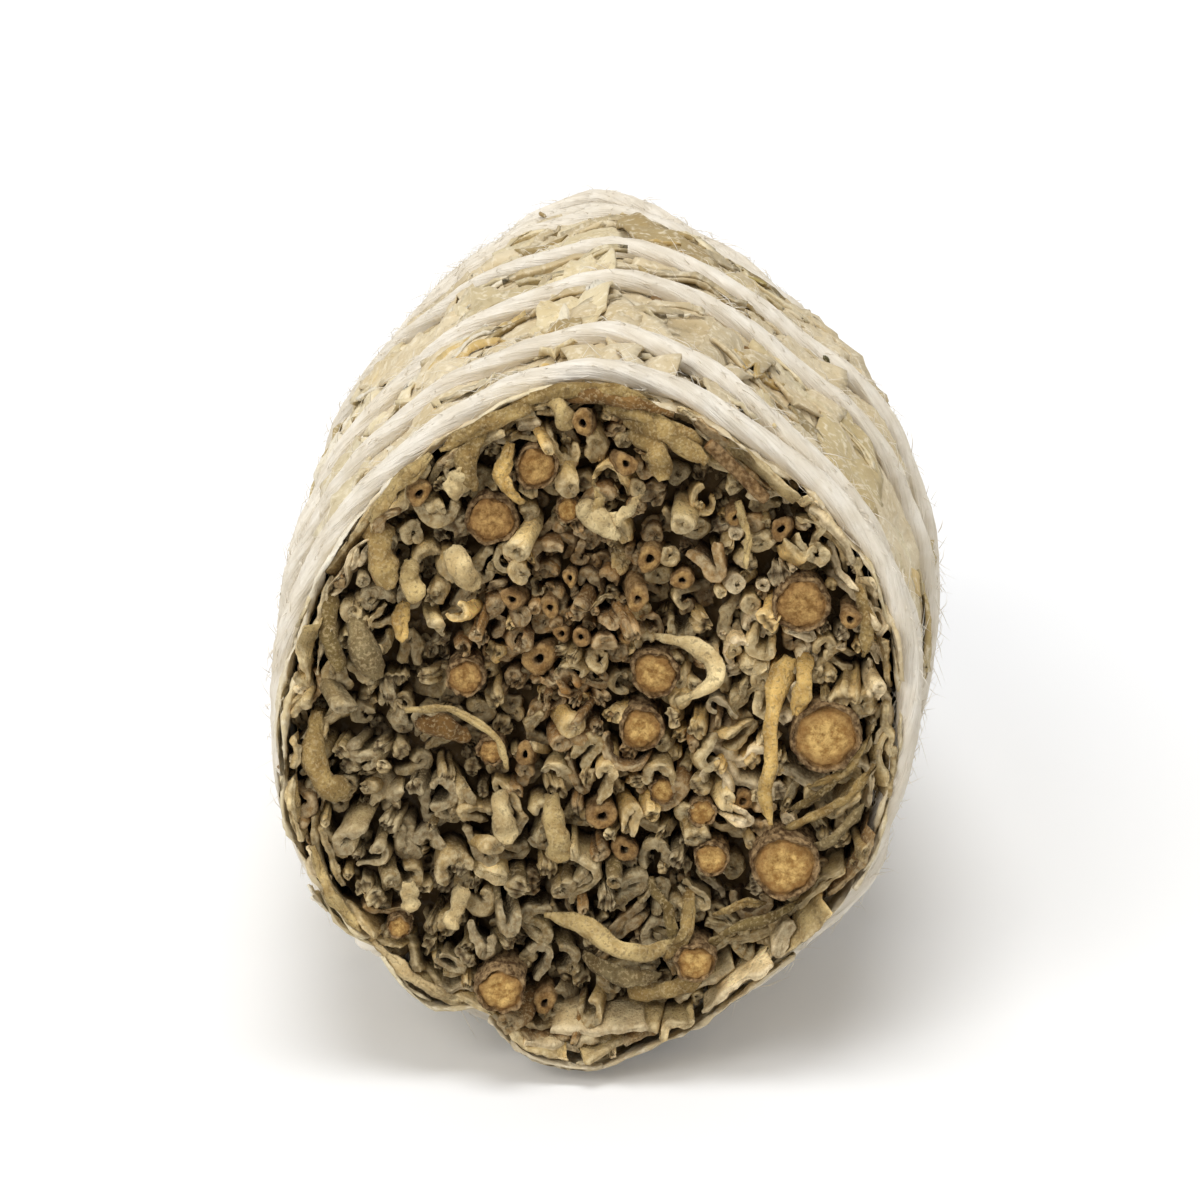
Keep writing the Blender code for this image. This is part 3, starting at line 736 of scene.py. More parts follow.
# The thin hollow side stems at the cut face: place and outer radius in millimetres.
HOLLOW_STEMS = [
    (-3.3, 3.6, 1.05), (-0.5, 18.3, 0.80), (1.8, 15.8, 0.75), (3.4, 9.9, 0.85), (2.6, 7.7, 0.75),
    (5.4, 8.6, 0.70), (-4.8, 7.4, 0.70), (-2.6, 6.9, 0.65), (-0.7, 5.0, 0.70), (-4.2, -2.4, 0.75),
    (0.5, -6.2, 0.95), (1.9, -8.5, 0.85), (11.4, 11.8, 0.75), (15.6, 6.4, 0.65), (-3.0, -18.3, 0.80),
    (-10.5, 13.9, 0.80), (9.2, -5.4, 0.65), (-1.4, 8.7, 0.55), (8.6, 12.4, 0.60), (-12.9, 8.8, 0.65),
    (-1.9, 5.2, 0.50), (2.0, 4.9, 0.50),
]

# The middle and the reach of the core, where small tubes are packed close together.
CORE_RIGHT, CORE_UP, CORE_REACH = -1.5 * MM, 5.0 * MM, 6.5 * MM

# The stages in which the face fills up: tries, sizes from 0 (small) to 1 (large), how much of a leaf
# may overlap others before they settle, and how far it stands out in millimetres.
FACE_STAGES = [(1000, (0.7, 1.0), 0.12, (-1.3, 1.2)), (2000, (0.4, 0.8), 0.18, (-1.6, 1.4)),
               (3500, (0.0, 0.5), 0.24, (-1.9, 1.4)), (2500, (-0.6, 0.1), 0.24, (-2.2, 0.8))]
TIP_STAGES = [(900, (0.5, 1.0), 0.12, (-1.0, 3.4)), (1800, (0.1, 0.6), 0.18, (-1.5, 3.0)),
              (3000, (-0.4, 0.2), 0.22, (-2.0, 1.5))]
GAP_STAGE = (2000, (-0.3, 0.4), 0.60, (-3.4, -2.2))      # the deep leaves that show in the gaps, dark with the painted shade of their finish
FACE_GAP, TIP_GAP = 0.05 * MM, 0.10 * MM                 # between leaves that have settled
STIFFNESS = 0.45              # how far a leaf springs back to its own shape in each round
RIM_DEPTHS = (0.05, 0.42, 0.80, 1.25, 1.8)    # of the layers at the rim, in millimetres

# Where the zones of the face begin: the rim as a share of the radius, the others by place.
RIM_FROM, RIGHT_FROM, RIGHT_BOTTOM, LEFT_FROM, LOW_FROM = 0.93, 7 * MM, -12 * MM, -6 * MM, -8 * MM
BENT_CLEARANCE = 1.0 * MM     # curls closer than this to a leaf that bends over are kept low
BENT_LOW = -0.5 * MM


def stem_ends():
    """Middle and radius of each woody stem at its cut end."""
    ends = {}
    for name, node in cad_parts.items():
        if name.startswith("stem_"):
            corners = corners_of(node)
            ring = corners[corners[:, 1] < corners[:, 1].min() + 0.1 * MM]
            middle = (ring.min(axis=0) + ring.max(axis=0)) / 2
            ends[name] = (middle, np.linalg.norm(ring - middle, axis=1).max())
    return ends


STEM_ENDS = stem_ends()


def from_core(right, up):
    """Distance from the middle of the core."""
    return math.hypot(right - CORE_RIGHT, up - CORE_UP)


def core_rise(right, up):
    """How much nearer to the face the leaves behind the gaps lie in the core."""
    return 1.5 * MM * math.exp(-(from_core(right, up) / CORE_REACH) ** 4)


def relief(right, up):
    """How far the cut ends stand out of the face near a place."""
    humps, hollows = (
        sum(math.exp(-(math.hypot(right / MM - x, up / MM - z) / RELIEF_REACH) ** 2) for x, z in places)
        for places in (HUMPS, HOLLOWS))
    return (HUMP_RISE * humps - HOLLOW_DEPTH * hollows) * MM


def zone_at(right, up):
    """The part of the cut face that a place belongs to."""
    out = math.hypot(right, up) / surface(np.array(math.atan2(up, right)), np.array(FACE_Y))
    if from_core(right, up) < CORE_REACH:
        return "core"
    if out > RIM_FROM:
        return "rim"
    if right > RIGHT_FROM and up > RIGHT_BOTTOM:
        return "right"
    if right < LEFT_FROM:
        return "left"
    return "low" if up < LOW_FROM else "high"


def plane_grid(steps):
    """Two arrays, of how far right and how far up each spot of a square grid is."""
    return np.meshgrid(steps, steps, indexing="ij")


def plan_inside(margin, y):
    """Cells of the plan that are inside the bundle's outline, less a margin."""
    right, up = plane_grid((np.arange(PLAN_SIZE) + 0.5) * CELL - PLAN_HALF)
    return np.hypot(right, up) < surface(np.arctan2(up, right), np.full(right.shape, y)) - margin


def line_cells(line, radius):
    """Cells of the plan that a thick line covers."""
    length = along_line(line)[-1]
    dense = points_along(line, np.linspace(0, length, max(int(length / CELL / 1.5), 2)))
    reach = math.ceil(radius / CELL)
    right, up = plane_grid(np.arange(-reach, reach + 1))
    disk = np.stack([right, up], axis=-1)[np.hypot(right, up) * CELL <= radius]
    cells = (((dense + PLAN_HALF) / CELL).astype(int)[:, None] + disk[None]).reshape(-1, 2)
    cells = np.clip(cells, 0, PLAN_SIZE - 1)
    return np.unique(cells[:, 0] * PLAN_SIZE + cells[:, 1])


def turned(shape, c, s):
    """Points turned about (0, 0) by an angle with cosine c and sine s."""
    x, y = shape[..., 0], shape[..., 1]
    return np.stack([x * c - y * s, x * s + y * c], axis=-1)


def leaf_line(kind, width, draw):
    """Middle line of a leaf seen on its cut end, around (0, 0)."""
    steps = DENSE_POINTS - 1
    share = np.linspace(0, 1, DENSE_POINTS)[:-1] + 0.5 / steps
    heading = np.concatenate([[0], np.cumsum(BENDS[kind](share, draw) * (1 / steps))])[:-1]
    ahead = np.stack([np.cos(heading), np.sin(heading)], axis=-1) * width / steps
    line = np.concatenate([[(0, 0)], np.cumsum(ahead, axis=0)])
    line -= line.mean(axis=0)
    kept = np.linspace(0, steps, LINE_POINTS).round().astype(int)
    return line[kept] * draw.uniform(0.7, 1.0, 2)


def leaf_size(kind, size, widths, halves, draw):
    """Width of a leaf across its cut end and half its thickness; a size of 1 is large and 0 small."""
    if kind == "tube":
        half = max(0.20 + 0.12 * size + draw.uniform(-0.03, 0.03), 0.13)
        return TURN * (half + draw.uniform(0.06, 0.25)) * MM, half * MM
    if kind == "knob":
        half = max(0.30 + 0.16 * size + draw.uniform(-0.05, 0.05), 0.18)
        return half * draw.uniform(1.6, 3.4) * MM, half * MM
    width = max(np.interp(size, (0, 1), widths) + min(size, 0) * 2.0, 0.7)
    return width * MM, min(draw.uniform(*halves), max(width * 0.2, 0.17)) * MM


class LeafPlan:
    """The leaves that have found a place on a cross-section of the bundle."""

    def __init__(self, y, margin, posts=()):
        self.y = y
        self.margin = margin
        self.inside = plan_inside(margin, y).ravel()
        self.posts = np.array(posts).reshape(-1, 3)
        self.lines, self.halves, self.stands, self.tints, self.kinds = [], [], [], [], []

    def lists(self):
        """What is known of the leaves, one list for each thing."""
        return self.lines, self.halves, self.stands, self.tints, self.kinds

    def free_cells(self, gap):
        """Cells that no leaf and no stem covers."""
        free = self.inside.copy()
        for right, up, radius in self.posts:
            free[line_cells(np.array([[right, up]] * 2), radius)] = False
        for line, half in zip(self.lines, self.halves):
            free[line_cells(line, half + gap)] = False
        return free

    def add(self, *leaf):
        """Add a leaf: its line, half thickness, how far it stands out, tint and kind."""
        for values, value in zip(self.lists(), leaf):
            values.append(value)

    def some(self, keep):
        """A smaller plan with the chosen leaves."""
        smaller = LeafPlan(self.y, self.margin)
        for k in np.flatnonzero(keep):
            smaller.add(*(values[k] for values in self.lists()))
        return smaller

    def edge(self, angle):
        """How far out the leaves may reach at angles round the bundle."""
        return surface(angle, np.full(np.shape(angle), self.y)) - self.margin


def fill_plan(plan, draw, stage, gap, zone_of, rise_at):
    """Try leaves at random free places, and keep those that fit between the others."""
    tries, sizes, crowding, stands = stage
    free = plan.free_cells(gap)
    free_spots = np.flatnonzero(free)
    for _ in range(tries):
        spot = free_spots[draw.integers(len(free_spots))]
        if not free[spot]:
            continue
        place = np.array([spot // PLAN_SIZE, spot % PLAN_SIZE]) * CELL - PLAN_HALF
        zone = zone_of(*place)
        kinds, widths, halves, tints = ZONES[zone]
        kind = pick(kinds, draw)
        width, half = leaf_size(kind, draw.uniform(*sizes), widths, halves, draw)
        line = leaf_line(kind, width, draw)
        for _ in range(3):
            around = math.atan2(place[1], place[0]) + math.pi / 2
            heading = around + draw.normal(0, 0.25) if zone == "rim" else draw.uniform(0, TURN)
            c, s = math.cos(heading), math.sin(heading)
            candidate = line @ np.array([[c, s], [-s, c]]) + place
            cells = line_cells(candidate, half)
            if (~free[cells]).mean() <= crowding:
                free[cells] = False
                stand = draw.uniform(*stands) * MM + rise_at(*place)
                tint = tint_of(tints, draw, 0.38) * ZONE_SHADE.get(zone, 1.0)
                plan.add(candidate, half, stand, tint, kind)
                break


def close_pairs(points, reach):
    """Pairs of points that are closer than a reach."""
    tree = KDTree(len(points))
    for k, (right, up) in enumerate(points):
        tree.insert((right, up, 0), k)
    tree.balance()
    pairs = [(k, other) for k, (right, up) in enumerate(points)
             for _, other, _ in tree.find_range((right, up, 0), reach) if other > k]
    return np.array(pairs).T


def settle(plan, gap, rounds):
    """Push the leaves apart, as they press on each other, until they lie side by side."""
    lines = np.array(plan.lines)
    count, n = lines.shape[:2]
    total = count * n
    rest = lines - lines.mean(axis=1, keepdims=True)
    posts = plan.posts
    points = np.concatenate([lines.reshape(-1, 2), posts[:, :2]])
    radius = np.concatenate([np.repeat(plan.halves, n), posts[:, 2]])
    owner = np.concatenate([np.repeat(np.arange(count), n), count + np.arange(len(posts))])
    loose = np.concatenate([np.ones(total), np.zeros(len(posts))])
    for step in range(rounds):
        if step % 8 == 0:
            first, second = close_pairs(points, 1.5 * MM)
            others = owner[first] != owner[second]
            first, second = first[others], second[others]
            for post in range(total, len(points)):
                beside = np.flatnonzero(np.hypot(*(points[:total] - points[post]).T) < radius[post] + MM)
                first = np.concatenate([first, beside])
                second = np.concatenate([second, np.full(len(beside), post)])
        apart = points[first] - points[second]
        distance = np.hypot(*apart.T) + 1e-9
        short = radius[first] + radius[second] + gap - distance
        hit = (short > 0) & (loose[first] + loose[second] > 0)
        one, other = first[hit], second[hit]
        push = apart[hit] * (short[hit] / distance[hit] / (loose[one] + loose[other]))[:, None]
        move, hits = np.zeros_like(points), np.zeros(len(points))
        for pushed, sign in ((one, 1), (other, -1)):
            np.add.at(move, pushed, sign * push * loose[pushed][:, None])
            np.add.at(hits, pushed, 1)
        points = points + 0.6 * move / np.maximum(hits, 1)[:, None] ** 0.5
        edge = plan.edge(angle_of(points)) - radius
        out = np.hypot(*points.T)
        over = (loose > 0) & (out > edge)
        points[over] *= (edge[over] / out[over])[:, None]
        shape = points[:total].reshape(count, n, 2)
        middle = shape.mean(axis=1, keepdims=True)
        bent = shape - middle
        turn = np.arctan2((rest[..., 0] * bent[..., 1] - rest[..., 1] * bent[..., 0]).sum(axis=1),
                          (rest * bent).sum(axis=(1, 2)))
        own = turned(rest, np.cos(turn)[:, None], np.sin(turn)[:, None])
        points[:total] = (middle + bent + (own - bent) * STIFFNESS).reshape(-1, 2)
    plan.lines = list(points[:total].reshape(count, n, 2))


def resample(points, count):
    """Evenly spaced points on a line through a few given ones, with its corners rounded off."""
    points = np.asarray(points, float)
    line = points_along(points, np.linspace(0, along_line(points)[-1], count))
    for _ in range(2):
        line[1:-1] = (line[:-2] + 2 * line[1:-1] + line[2:]) / 4
    return line


def add_rim_layers(plan, draw, tints):
    """Flat leaves that follow the outline, in a few overlapping layers."""
    share = np.linspace(0, 1, LINE_POINTS)
    for layer, depth in enumerate(RIM_DEPTHS):
        angle = draw.uniform(0, 0.5)
        while angle < TURN:
            span = draw.uniform(0.08, 0.30)
            half = draw.uniform(0.13, 0.22) * MM
            turns = angle + span * share
            wavy = draw.uniform(0.1, 0.55) * np.sin(draw.uniform(3, 7) * share + draw.uniform(0, TURN))
            radius = plan.edge(turns) - (depth + wavy) * MM - half
            line = np.stack([radius * np.cos(turns), radius * np.sin(turns)], axis=-1)
            plan.add(line, half, draw.uniform(-0.2, 1.2) * MM, tint_of(tints, draw), "rim")
            angle += span + draw.uniform(0.02, 0.10 + 0.16 * layer)


def plan_cut_face():
    """Places of all the curled leaves on the cut face."""
    draw = np.random.default_rng(11)
    posts = [(middle[0] - AXIS_X, middle[2] - AXIS_Z, radius) for middle, radius in STEM_ENDS.values()]
    posts += [tuple(MM * value for value in stem) for stem in HOLLOW_STEMS]
    plan = LeafPlan(FACE_Y, -0.15 * MM, posts)
    add_rim_layers(plan, draw, dict(khaki=4, pale=4, tan=4, brown=1, cream=2))
    for stage in FACE_STAGES:
        fill_plan(plan, draw, stage, 0.03 * MM, zone_at, relief)
        settle(plan, FACE_GAP, 36)
    fill_plan(plan, draw, GAP_STAGE, 0.0, zone_at, core_rise)
    bent = np.concatenate([resample(leaf[0], LINE_POINTS) for leaf in BENT_LEAVES]) * MM
    for k, line in enumerate(plan.lines):
        if np.hypot(*(line[:, None] - bent[None]).transpose(2, 0, 1)).min() < BENT_CLEARANCE:
            plan.stands[k] = min(plan.stands[k], BENT_LOW)
    return plan


# ---------------------------------------------------------------- the cut face: leaves and stems

BENT_ROWS, BENT_COLUMNS = 26, 11
BENT_THICKNESS = 0.20 * MM

# Each curled leaf runs back into the bundle through six rings: how deep each ring lies, how thick
# the leaf is there, and how much it shows the colour of a cut.
RING_DEPTHS = np.array([0.0, 0.09, 0.32, 0.85, 2.0, 5.0]) * MM
RING_THICKNESS = np.array([0.66, 0.94, 1.06, 0.98, 0.92, 0.8])
RING_CUT = np.array([1.0, 0.9, 0.22, 0.0, 0.0, 0.0])
CUT_RINGS = 3                 # the first rings, which lie closer together on thin leaves
LEAN = 0.21
BOLD_SHARE, BOLD_LEAN = 0.16, 2.0    # a share of the leaves leans this many times as much
MOUTH_DEPTH = 0.8 * MM        # over which a leaf opens out towards its cut end
CUT_DEPTH = 2.4 * MM          # over which the slant of its cut end fades
LEAN_DEPTH = 1.6 * MM         # over which it leans, before it runs straight back
DEEP_RING = 0.5 * MM          # from here on the leaves keep under the wrapping ones
DROOP = -0.20                 # how steeply the leaves hang down as they come out of the face
INSIDE_WRAP = 0.7 * MM        # the curled leaves stay this far under the surface of the wrapping ones
OVER_RIM = 0.2 * MM           # their cut ends may reach this far beyond it
SEAM_DEPTH = 0.07 * MM        # how far the middle of a cut edge is sunk
KNOB_SEAM_DEPTH = 0.24 * MM   # and of a leaf that is folded to a solid knob
QUARTERS = ("right", "left", "low", "under")


def make_bent_leaves(finish):
    """The leaves that bend over in front of the cut face."""
    draw = np.random.default_rng(31)
    rows, columns = BENT_ROWS, BENT_COLUMNS
    s = np.linspace(0, 1, rows)
    v = np.linspace(-1, 1, columns)
    sheets, shades = [], []
    for line, stands, widths, roll, tint in BENT_LEAVES:
        spine = resample(line, rows) * MM
        out, width = (first * (1 - s) * (1 - 2 * s) + 4 * middle * s * (1 - s) + last * s * (2 * s - 1)
                      for first, middle, last in (stands, widths))
        out = (out + uneven(draw, 1, 7, rows, -0.2, 0.2)[0]) * MM
        ahead = unit(np.gradient(spine, axis=0))
        across = np.stack([ahead[:, 1], -ahead[:, 0]], axis=-1)
        rounded = 1 - 0.6 * smooth((s - 0.86) / 0.14) - 0.35 * smooth((0.12 - s) / 0.12)
        half = width / 2 * MM * rounded * uneven(draw, 1, 7, rows, 0.76, 1.22)[0]
        opening = roll * uneven(draw, 1, 4, rows, 0.75, 1.2)[0]
        bow = (half / np.sin(np.minimum(opening, math.pi / 2)))[:, None]
        turn = v * opening[:, None] + draw.normal(0, 0.35) * (s[:, None] - 0.3)
        crumple = finer(finer(draw.normal(0, 0.09, (1, 8, 5)), rows).transpose(0, 2, 1), columns)[0].T * MM
        sideways = bow * np.sin(turn) + crumple * 0.6
        place = spine[:, None] + across[:, None] * sideways[..., None]
        y = FACE_Y - out[:, None] + bow * (1 - np.cos(turn)) + crumple
        sheets.append(np.stack([AXIS_X + place[..., 0], y, AXIS_Z + place[..., 1]], axis=-1))
        shade = uneven(draw, 1, 6, rows, 0.72, 1.12)[0][:, None, None] * np.array(SAGE_TINTS[tint]) * 0.92
        # Painted shade: one edge of each bent leaf is a quarter darker.
        shades.append(shade * (1 - 0.25 * (v[:, None] > 0.6)))
    piece = sheets_piece("bent_leaves", sheets, shades, rows, columns, ("cut", "seam"))
    apply_modifier(piece, "SOLIDIFY", thickness=BENT_THICKNESS, offset=0.0)
    roughen(piece, (1.1, 0.30), (0.42, 0.15))
    finish_piece(piece, finish, ["packed_leaves"])


def leaf_faces(n):
    """Faces of one swept leaf: its rings, the two strips of its cut edge, and its closed far end."""
    loop = 2 * n + 2
    rings = len(RING_DEPTHS)
    faces = []
    for a in range(0, (rings - 1) * loop, loop):
        b = a + loop
        faces += [(a + k, a + (k + 1) % loop, b + (k + 1) % loop, b + k) for k in range(loop)]
    seam = rings * loop
    for k in range(n - 1):
        faces.append((k + 1, k, seam + k, seam + k + 1))
        faces.append((seam + k + 1, seam + k, 2 * n - k, 2 * n - 1 - k))
    faces += [(n, n - 1, seam + n - 1), (n + 1, n, seam + n - 1)]
    faces += [(0, 2 * n + 1, seam), (2 * n + 1, 2 * n, seam)]
    a = seam - loop
    faces += [(a + k, a + k + 1, a + 2 * n - 1 - k, a + 2 * n - k) for k in range(n - 1)]
    return faces + [(a + n - 1, a + n, a + n + 1), (a + 2 * n, a + 2 * n + 1, a)]


def leaf_marks(plan, draw, n):
    """Tint, cut and seam of every point of the leaves of a plan; one side of each leaf is painted with shade,
    deepest inside rolled leaves, and the other side with a little painted light.
    """
    count, rings = len(plan.lines), len(RING_DEPTHS)
    rolled = np.array([kind in ROLLED for kind in plan.kinds])
    knob = np.array([kind == "knob" for kind in plan.kinds])
    shade = uneven(draw, count, 7, n, 0.60, 1.38)
    # Painted shade on one side of each leaf, deepest inside rolled ones, and painted light on the other side.
    shaded_side = shade * np.where(rolled, 0.58, 0.9)[:, None]
    around = np.concatenate([shaded_side, shade[:, -1:], shade[:, ::-1] * 1.12, shade[:, :1]], 1)
    around = np.concatenate([np.tile(around, (1, rings)), shade], axis=1)
    tints = np.ones((*around.shape, 4), np.float32)
    tints[..., :3] = np.array(plan.tints)[:, None, :] * around[..., None]
    cut = np.concatenate([np.repeat(RING_CUT, 2 * n + 2), np.ones(n)])
    sunk = np.concatenate([np.zeros(rings * (2 * n + 2)), np.ones(n)]) * np.where(knob, 1.0, 0.35)[:, None]
    return {"tint": tints.reshape(-1, 4), "cut": np.tile(cut, count), "seam": sunk.ravel()}


def swept_leaves(plan, draw, face_y, direction, droop=DROOP, taper=lambda depth: 1.0):
    """Points, faces and marks of the leaves of a plan, run back into the bundle from their ends."""
    lines = finer(np.array(plan.lines), EDGE_POINTS)
    count, n = lines.shape[:2]
    ahead = unit(np.gradient(lines, axis=1), 1e-12)
    side = np.stack([-ahead[..., 1], ahead[..., 0]], axis=-1)
    body = np.array(plan.halves)[:, None] * (0.72 + 0.36 * np.sin(math.pi * np.linspace(0, 1, n)))
    sides = [body * uneven(draw, count, 8, n, 0.55, 1.5) for _ in range(2)]
    centre = lines.mean(axis=1)
    middle = centre[:, None]
    lean = draw.normal(0, LEAN, (count, 2))
    lean *= np.where(draw.uniform(0, 1, (count, 1)) < BOLD_SHARE, BOLD_LEAN, 1.0)
    lean += centre / PLAN_HALF * 0.10
    lean[:, 1] += droop
    flare = draw.normal(0, 0.22, (count, 2)) * MM
    cut_slope = 0.8 * lean + draw.normal(0, 0.30, (count, 2))
    knob = np.array([kind == "knob" for kind in plan.kinds])
    bluntness = np.clip(np.array(plan.halves) / (0.20 * MM), 0.8, 2.0)
    ragged = uneven(draw, count, 9, n, -0.26, 0.26) * MM
    rough = np.concatenate([ragged, ragged[:, -1:], ragged[:, ::-1], ragged[:, :1]], 1)
    open_up = draw.uniform(0.92, 1.22, count)
    twist = draw.normal(0, 0.10, count)
    lip = draw.uniform(0.85, 1.25, count)
    stands = np.array(plan.stands)
    rings, seam = [], None
    for k, (ring_depth, thin) in enumerate(zip(RING_DEPTHS, RING_THICKNESS)):
        spread = taper(ring_depth)
        depth = ring_depth * (bluntness if k < CUT_RINGS else np.ones(count))
        mouth = np.exp(-depth / MOUTH_DEPTH)
        turn = (twist * (depth - stands) / MM)[:, None]
        widened = spread * (1 + (open_up - 1) * mouth)[:, None, None]

        def swung(shape):
            """The shape, opened out and turned about each leaf's middle."""
            return middle + turned((shape - middle) * widened, np.cos(turn), np.sin(turn))

        wall = thin * spread * (1 + (lip - 1) * np.exp(-((depth / MM - 0.3) / 0.5) ** 2))[:, None, None]
        left, right = (swung(lines + sign * side * thick[..., None] * wall)
                       for sign, thick in zip((1, -1), sides))
        end, start = (swung(lines + sign * ahead * body[..., None] * 0.5 * wall) for sign in (1, -1))
        outline = np.concatenate([left, end[:, -1:], right[:, ::-1], start[:, :1]], 1)
        ease = 1 - smooth(depth / CUT_DEPTH)[:, None]
        slant = ((outline - middle) * cut_slope[:, None]).sum(axis=2) * ease
        run = (depth - stands)[:, None]
        bow = LEAN_DEPTH * np.tanh(run / LEAN_DEPTH)
        shift = -lean * np.where(run < 0, run, bow) + flare * mouth[:, None]

        def placed(shape, along):
            """The shape, leaned over and put in the bundle at places along it."""
            shape = shape + shift[:, None, :]
            reach = np.hypot(shape[..., 0], shape[..., 1])
            limit = surface(angle_of(shape), face_y + direction * along)
            limit = limit - INSIDE_WRAP if ring_depth > DEEP_RING else limit + OVER_RIM
            shape = shape * np.minimum(1, limit / np.maximum(reach, 1e-6))[..., None]
            return np.stack([axis_x(face_y) + shape[..., 0], face_y + direction * along,
                             axis_z(face_y) + shape[..., 1]], axis=-1)

        along = run + slant + rough * ease
        rings.append(placed(outline, along))
        if k == 0:
            sink = np.where(knob, KNOB_SEAM_DEPTH, SEAM_DEPTH)[:, None]
            seam = placed(swung(lines), along[:, :n] + sink * draw.uniform(0.3, 1.5, (count, n)))
    points = np.concatenate([np.stack(rings, axis=1).reshape(count, -1, 3), seam], axis=1)
    points[..., 2] = np.maximum(points[..., 2], FLOOR_CLEARANCE)
    shape = leaf_faces(n)
    faces = [tuple(leaf * points.shape[1] + k for k in face) for leaf in range(count) for face in shape]
    return points.reshape(-1, 3), faces, leaf_marks(plan, draw, n)


def make_curled_leaves(finish):
    """All the curled leaves of the cut face, in four pieces."""
    plan = plan_cut_face()
    turns = np.array([math.atan2(*line.mean(axis=0)[::-1]) for line in plan.lines]) % TURN
    for k, name in enumerate(QUARTERS):
        keep = (turns // (TURN / 4)).astype(int) == k
        leaves = swept_leaves(plan.some(keep), np.random.default_rng(20 + k), FACE_Y, 1.0)
        piece = piece_from(f"curled_leaves_{name}", *leaves)
        roughen(piece, (1.1, 0.44), (0.45, 0.20))
        finish_piece(piece, finish, ["packed_leaves"])


CORE_SIDES = 64
CORE_START = FACE_Y + 3.2 * MM
CORE_END = PACK_END_Y - 2.0 * MM
CORE_UNDER = 1.0 * MM         # how far it stays under the surface of the wrapping leaves
CORE_FLOOR = 0.6 * MM


def make_core(finish):
    """The deeper packed leaves, as one rough mass behind the curls, painted dark as the shade between them.
    """
    core = rod("leaf_core", CORE_SIDES, 1.0, 2.0, ends="TRIFAN")
    with editing():
        cut_across([0])
        bpy.ops.mesh.select_all(action="SELECT")
        bpy.ops.mesh.subdivide(number_cuts=5)
    corners = corners_of(core)
    angle = np.arctan2(corners[:, 2], corners[:, 0])
    y = CORE_START + (corners[:, 1] + 1) / 2 * (CORE_END - CORE_START)
    radius = (surface(angle, y) - CORE_UNDER) * np.hypot(corners[:, 0], corners[:, 2])
    placed = np.stack([axis_x(y), y, axis_z(y)], axis=-1) + outward(angle) * radius[:, None]
    placed[:, 2] = np.maximum(placed[:, 2], CORE_FLOOR)
    move_corners(core, placed)
    set_mark(core, "tint", [(*SAGE_TINTS["khaki"], 1.0)] * len(corners))
    # Painted shade: the core is coloured near black where it lies close behind the face, less so further
    # back.
    set_mark(core, "hollow", np.clip(1.0 - (y - FACE_Y - 5 * MM) / (4 * MM), 0.45, 1.0))
    roughen(core, (2.0, 1.2))
    finish_piece(core, finish, ["packed_leaves"])


STEM_SIDES, HOLLOW_STEM_SIDES, TWIG_SIDES = 26, 12, 18

# A stem's cut end, worked inwards from its rim: how far in, in radii, and how far back in millimetres.
STEM_END_STEPS = [(0.04, -0.10), (0.06, 0.03), (0.05, 0.26), (0.04, 0.02), (0.04, -0.24), (0.12, -0.05),
                  (0.20, -0.03), (0.20, 0.03)]
FULL_DEPTH_RADIUS = 1.6 * MM  # thinner stems have shallower cut ends
STEM_BANDS = (0.5, 1.2, 2.2, 4.0, 9.0, 20.0, 40.0)    # millimetres behind the cut end
BARK_EDGE, RAGGED_EDGE = 0.82, 0.84                   # in radii
RUSTY_STEMS = {"stem_03": 0.50, "stem_04": 0.20, "stem_05": 0.05, "stem_06": 0.60, "stem_07": 0.35,
               "stem_08": 0.40, "stem_14": 0.45}


def make_stem(name, middle, radius, finish):
    """One woody stem: a pith disc with dark flecks, a dark seam, and a ring of flaky bark."""
    low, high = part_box(name)
    length = high.y - low.y
    stem = rod(name + "_wood", STEM_SIDES, radius, length, (middle[0], low.y + length / 2, middle[2]))
    shallow = MM * min(radius / FULL_DEPTH_RADIUS, 1.0)
    select_front(stem)
    with editing():
        inset_front([(inset * radius, back * shallow) for inset, back in STEM_END_STEPS])
        bpy.ops.mesh.poke()
    for cut in STEM_BANDS:
        with editing():
            cut_across([low.y + cut * MM])
    corners = corners_of(stem)
    right, up = corners[:, 0] - middle[0], corners[:, 2] - middle[2]
    out = np.hypot(right, up) / radius
    angle = np.arctan2(up, right)
    set_mark(stem, "bark", np.clip((out - BARK_EDGE) / 0.05, 0, 1))
    set_mark(stem, "edge", np.clip((out - 0.45) / 0.3, 0, 1))
    set_mark(stem, "rust", np.full(len(out), RUSTY_STEMS.get(name, 0.0)))
    share = np.clip((corners[:, 1] - low.y) / length, 0, 1)
    draw = np.random.default_rng(int(name[-2:]))
    lumps = sum(draw.uniform(0.01, 0.045) * np.sin(k * angle + draw.uniform(0, TURN)) for k in (2, 3, 5, 7))
    thin = (1 - 0.35 * share) * (1 + lumps * (out > 0.6))
    inward = share * length / (60 * MM) * 0.06
    corners[:, 0] = middle[0] + right * thin - (middle[0] - AXIS_X) * inward
    corners[:, 2] = middle[2] + up * thin - (middle[2] - AXIS_Z) * inward
    flakes = draw.uniform(-0.28, 0.28, len(out)) + 0.15 * np.sin(5 * angle + draw.uniform(0, TURN))
    corners[:, 1] += np.where((out > RAGGED_EDGE) & (corners[:, 1] < low.y + 0.3 * MM), flakes * MM, 0)
    move_corners(stem, corners)
    round_off(stem)
    roughen(stem, (0.6, 0.34))
    roughen(stem, (0.25, 0.16), depth=1)
    finish_piece(stem, finish, [name])


def make_stems(finish):
    """Every woody stem of the bundle."""
    for name, (middle, radius) in sorted(STEM_ENDS.items()):
        make_stem(name, middle, radius, finish)


HOLLOW_STEM_LENGTH = 9 * MM


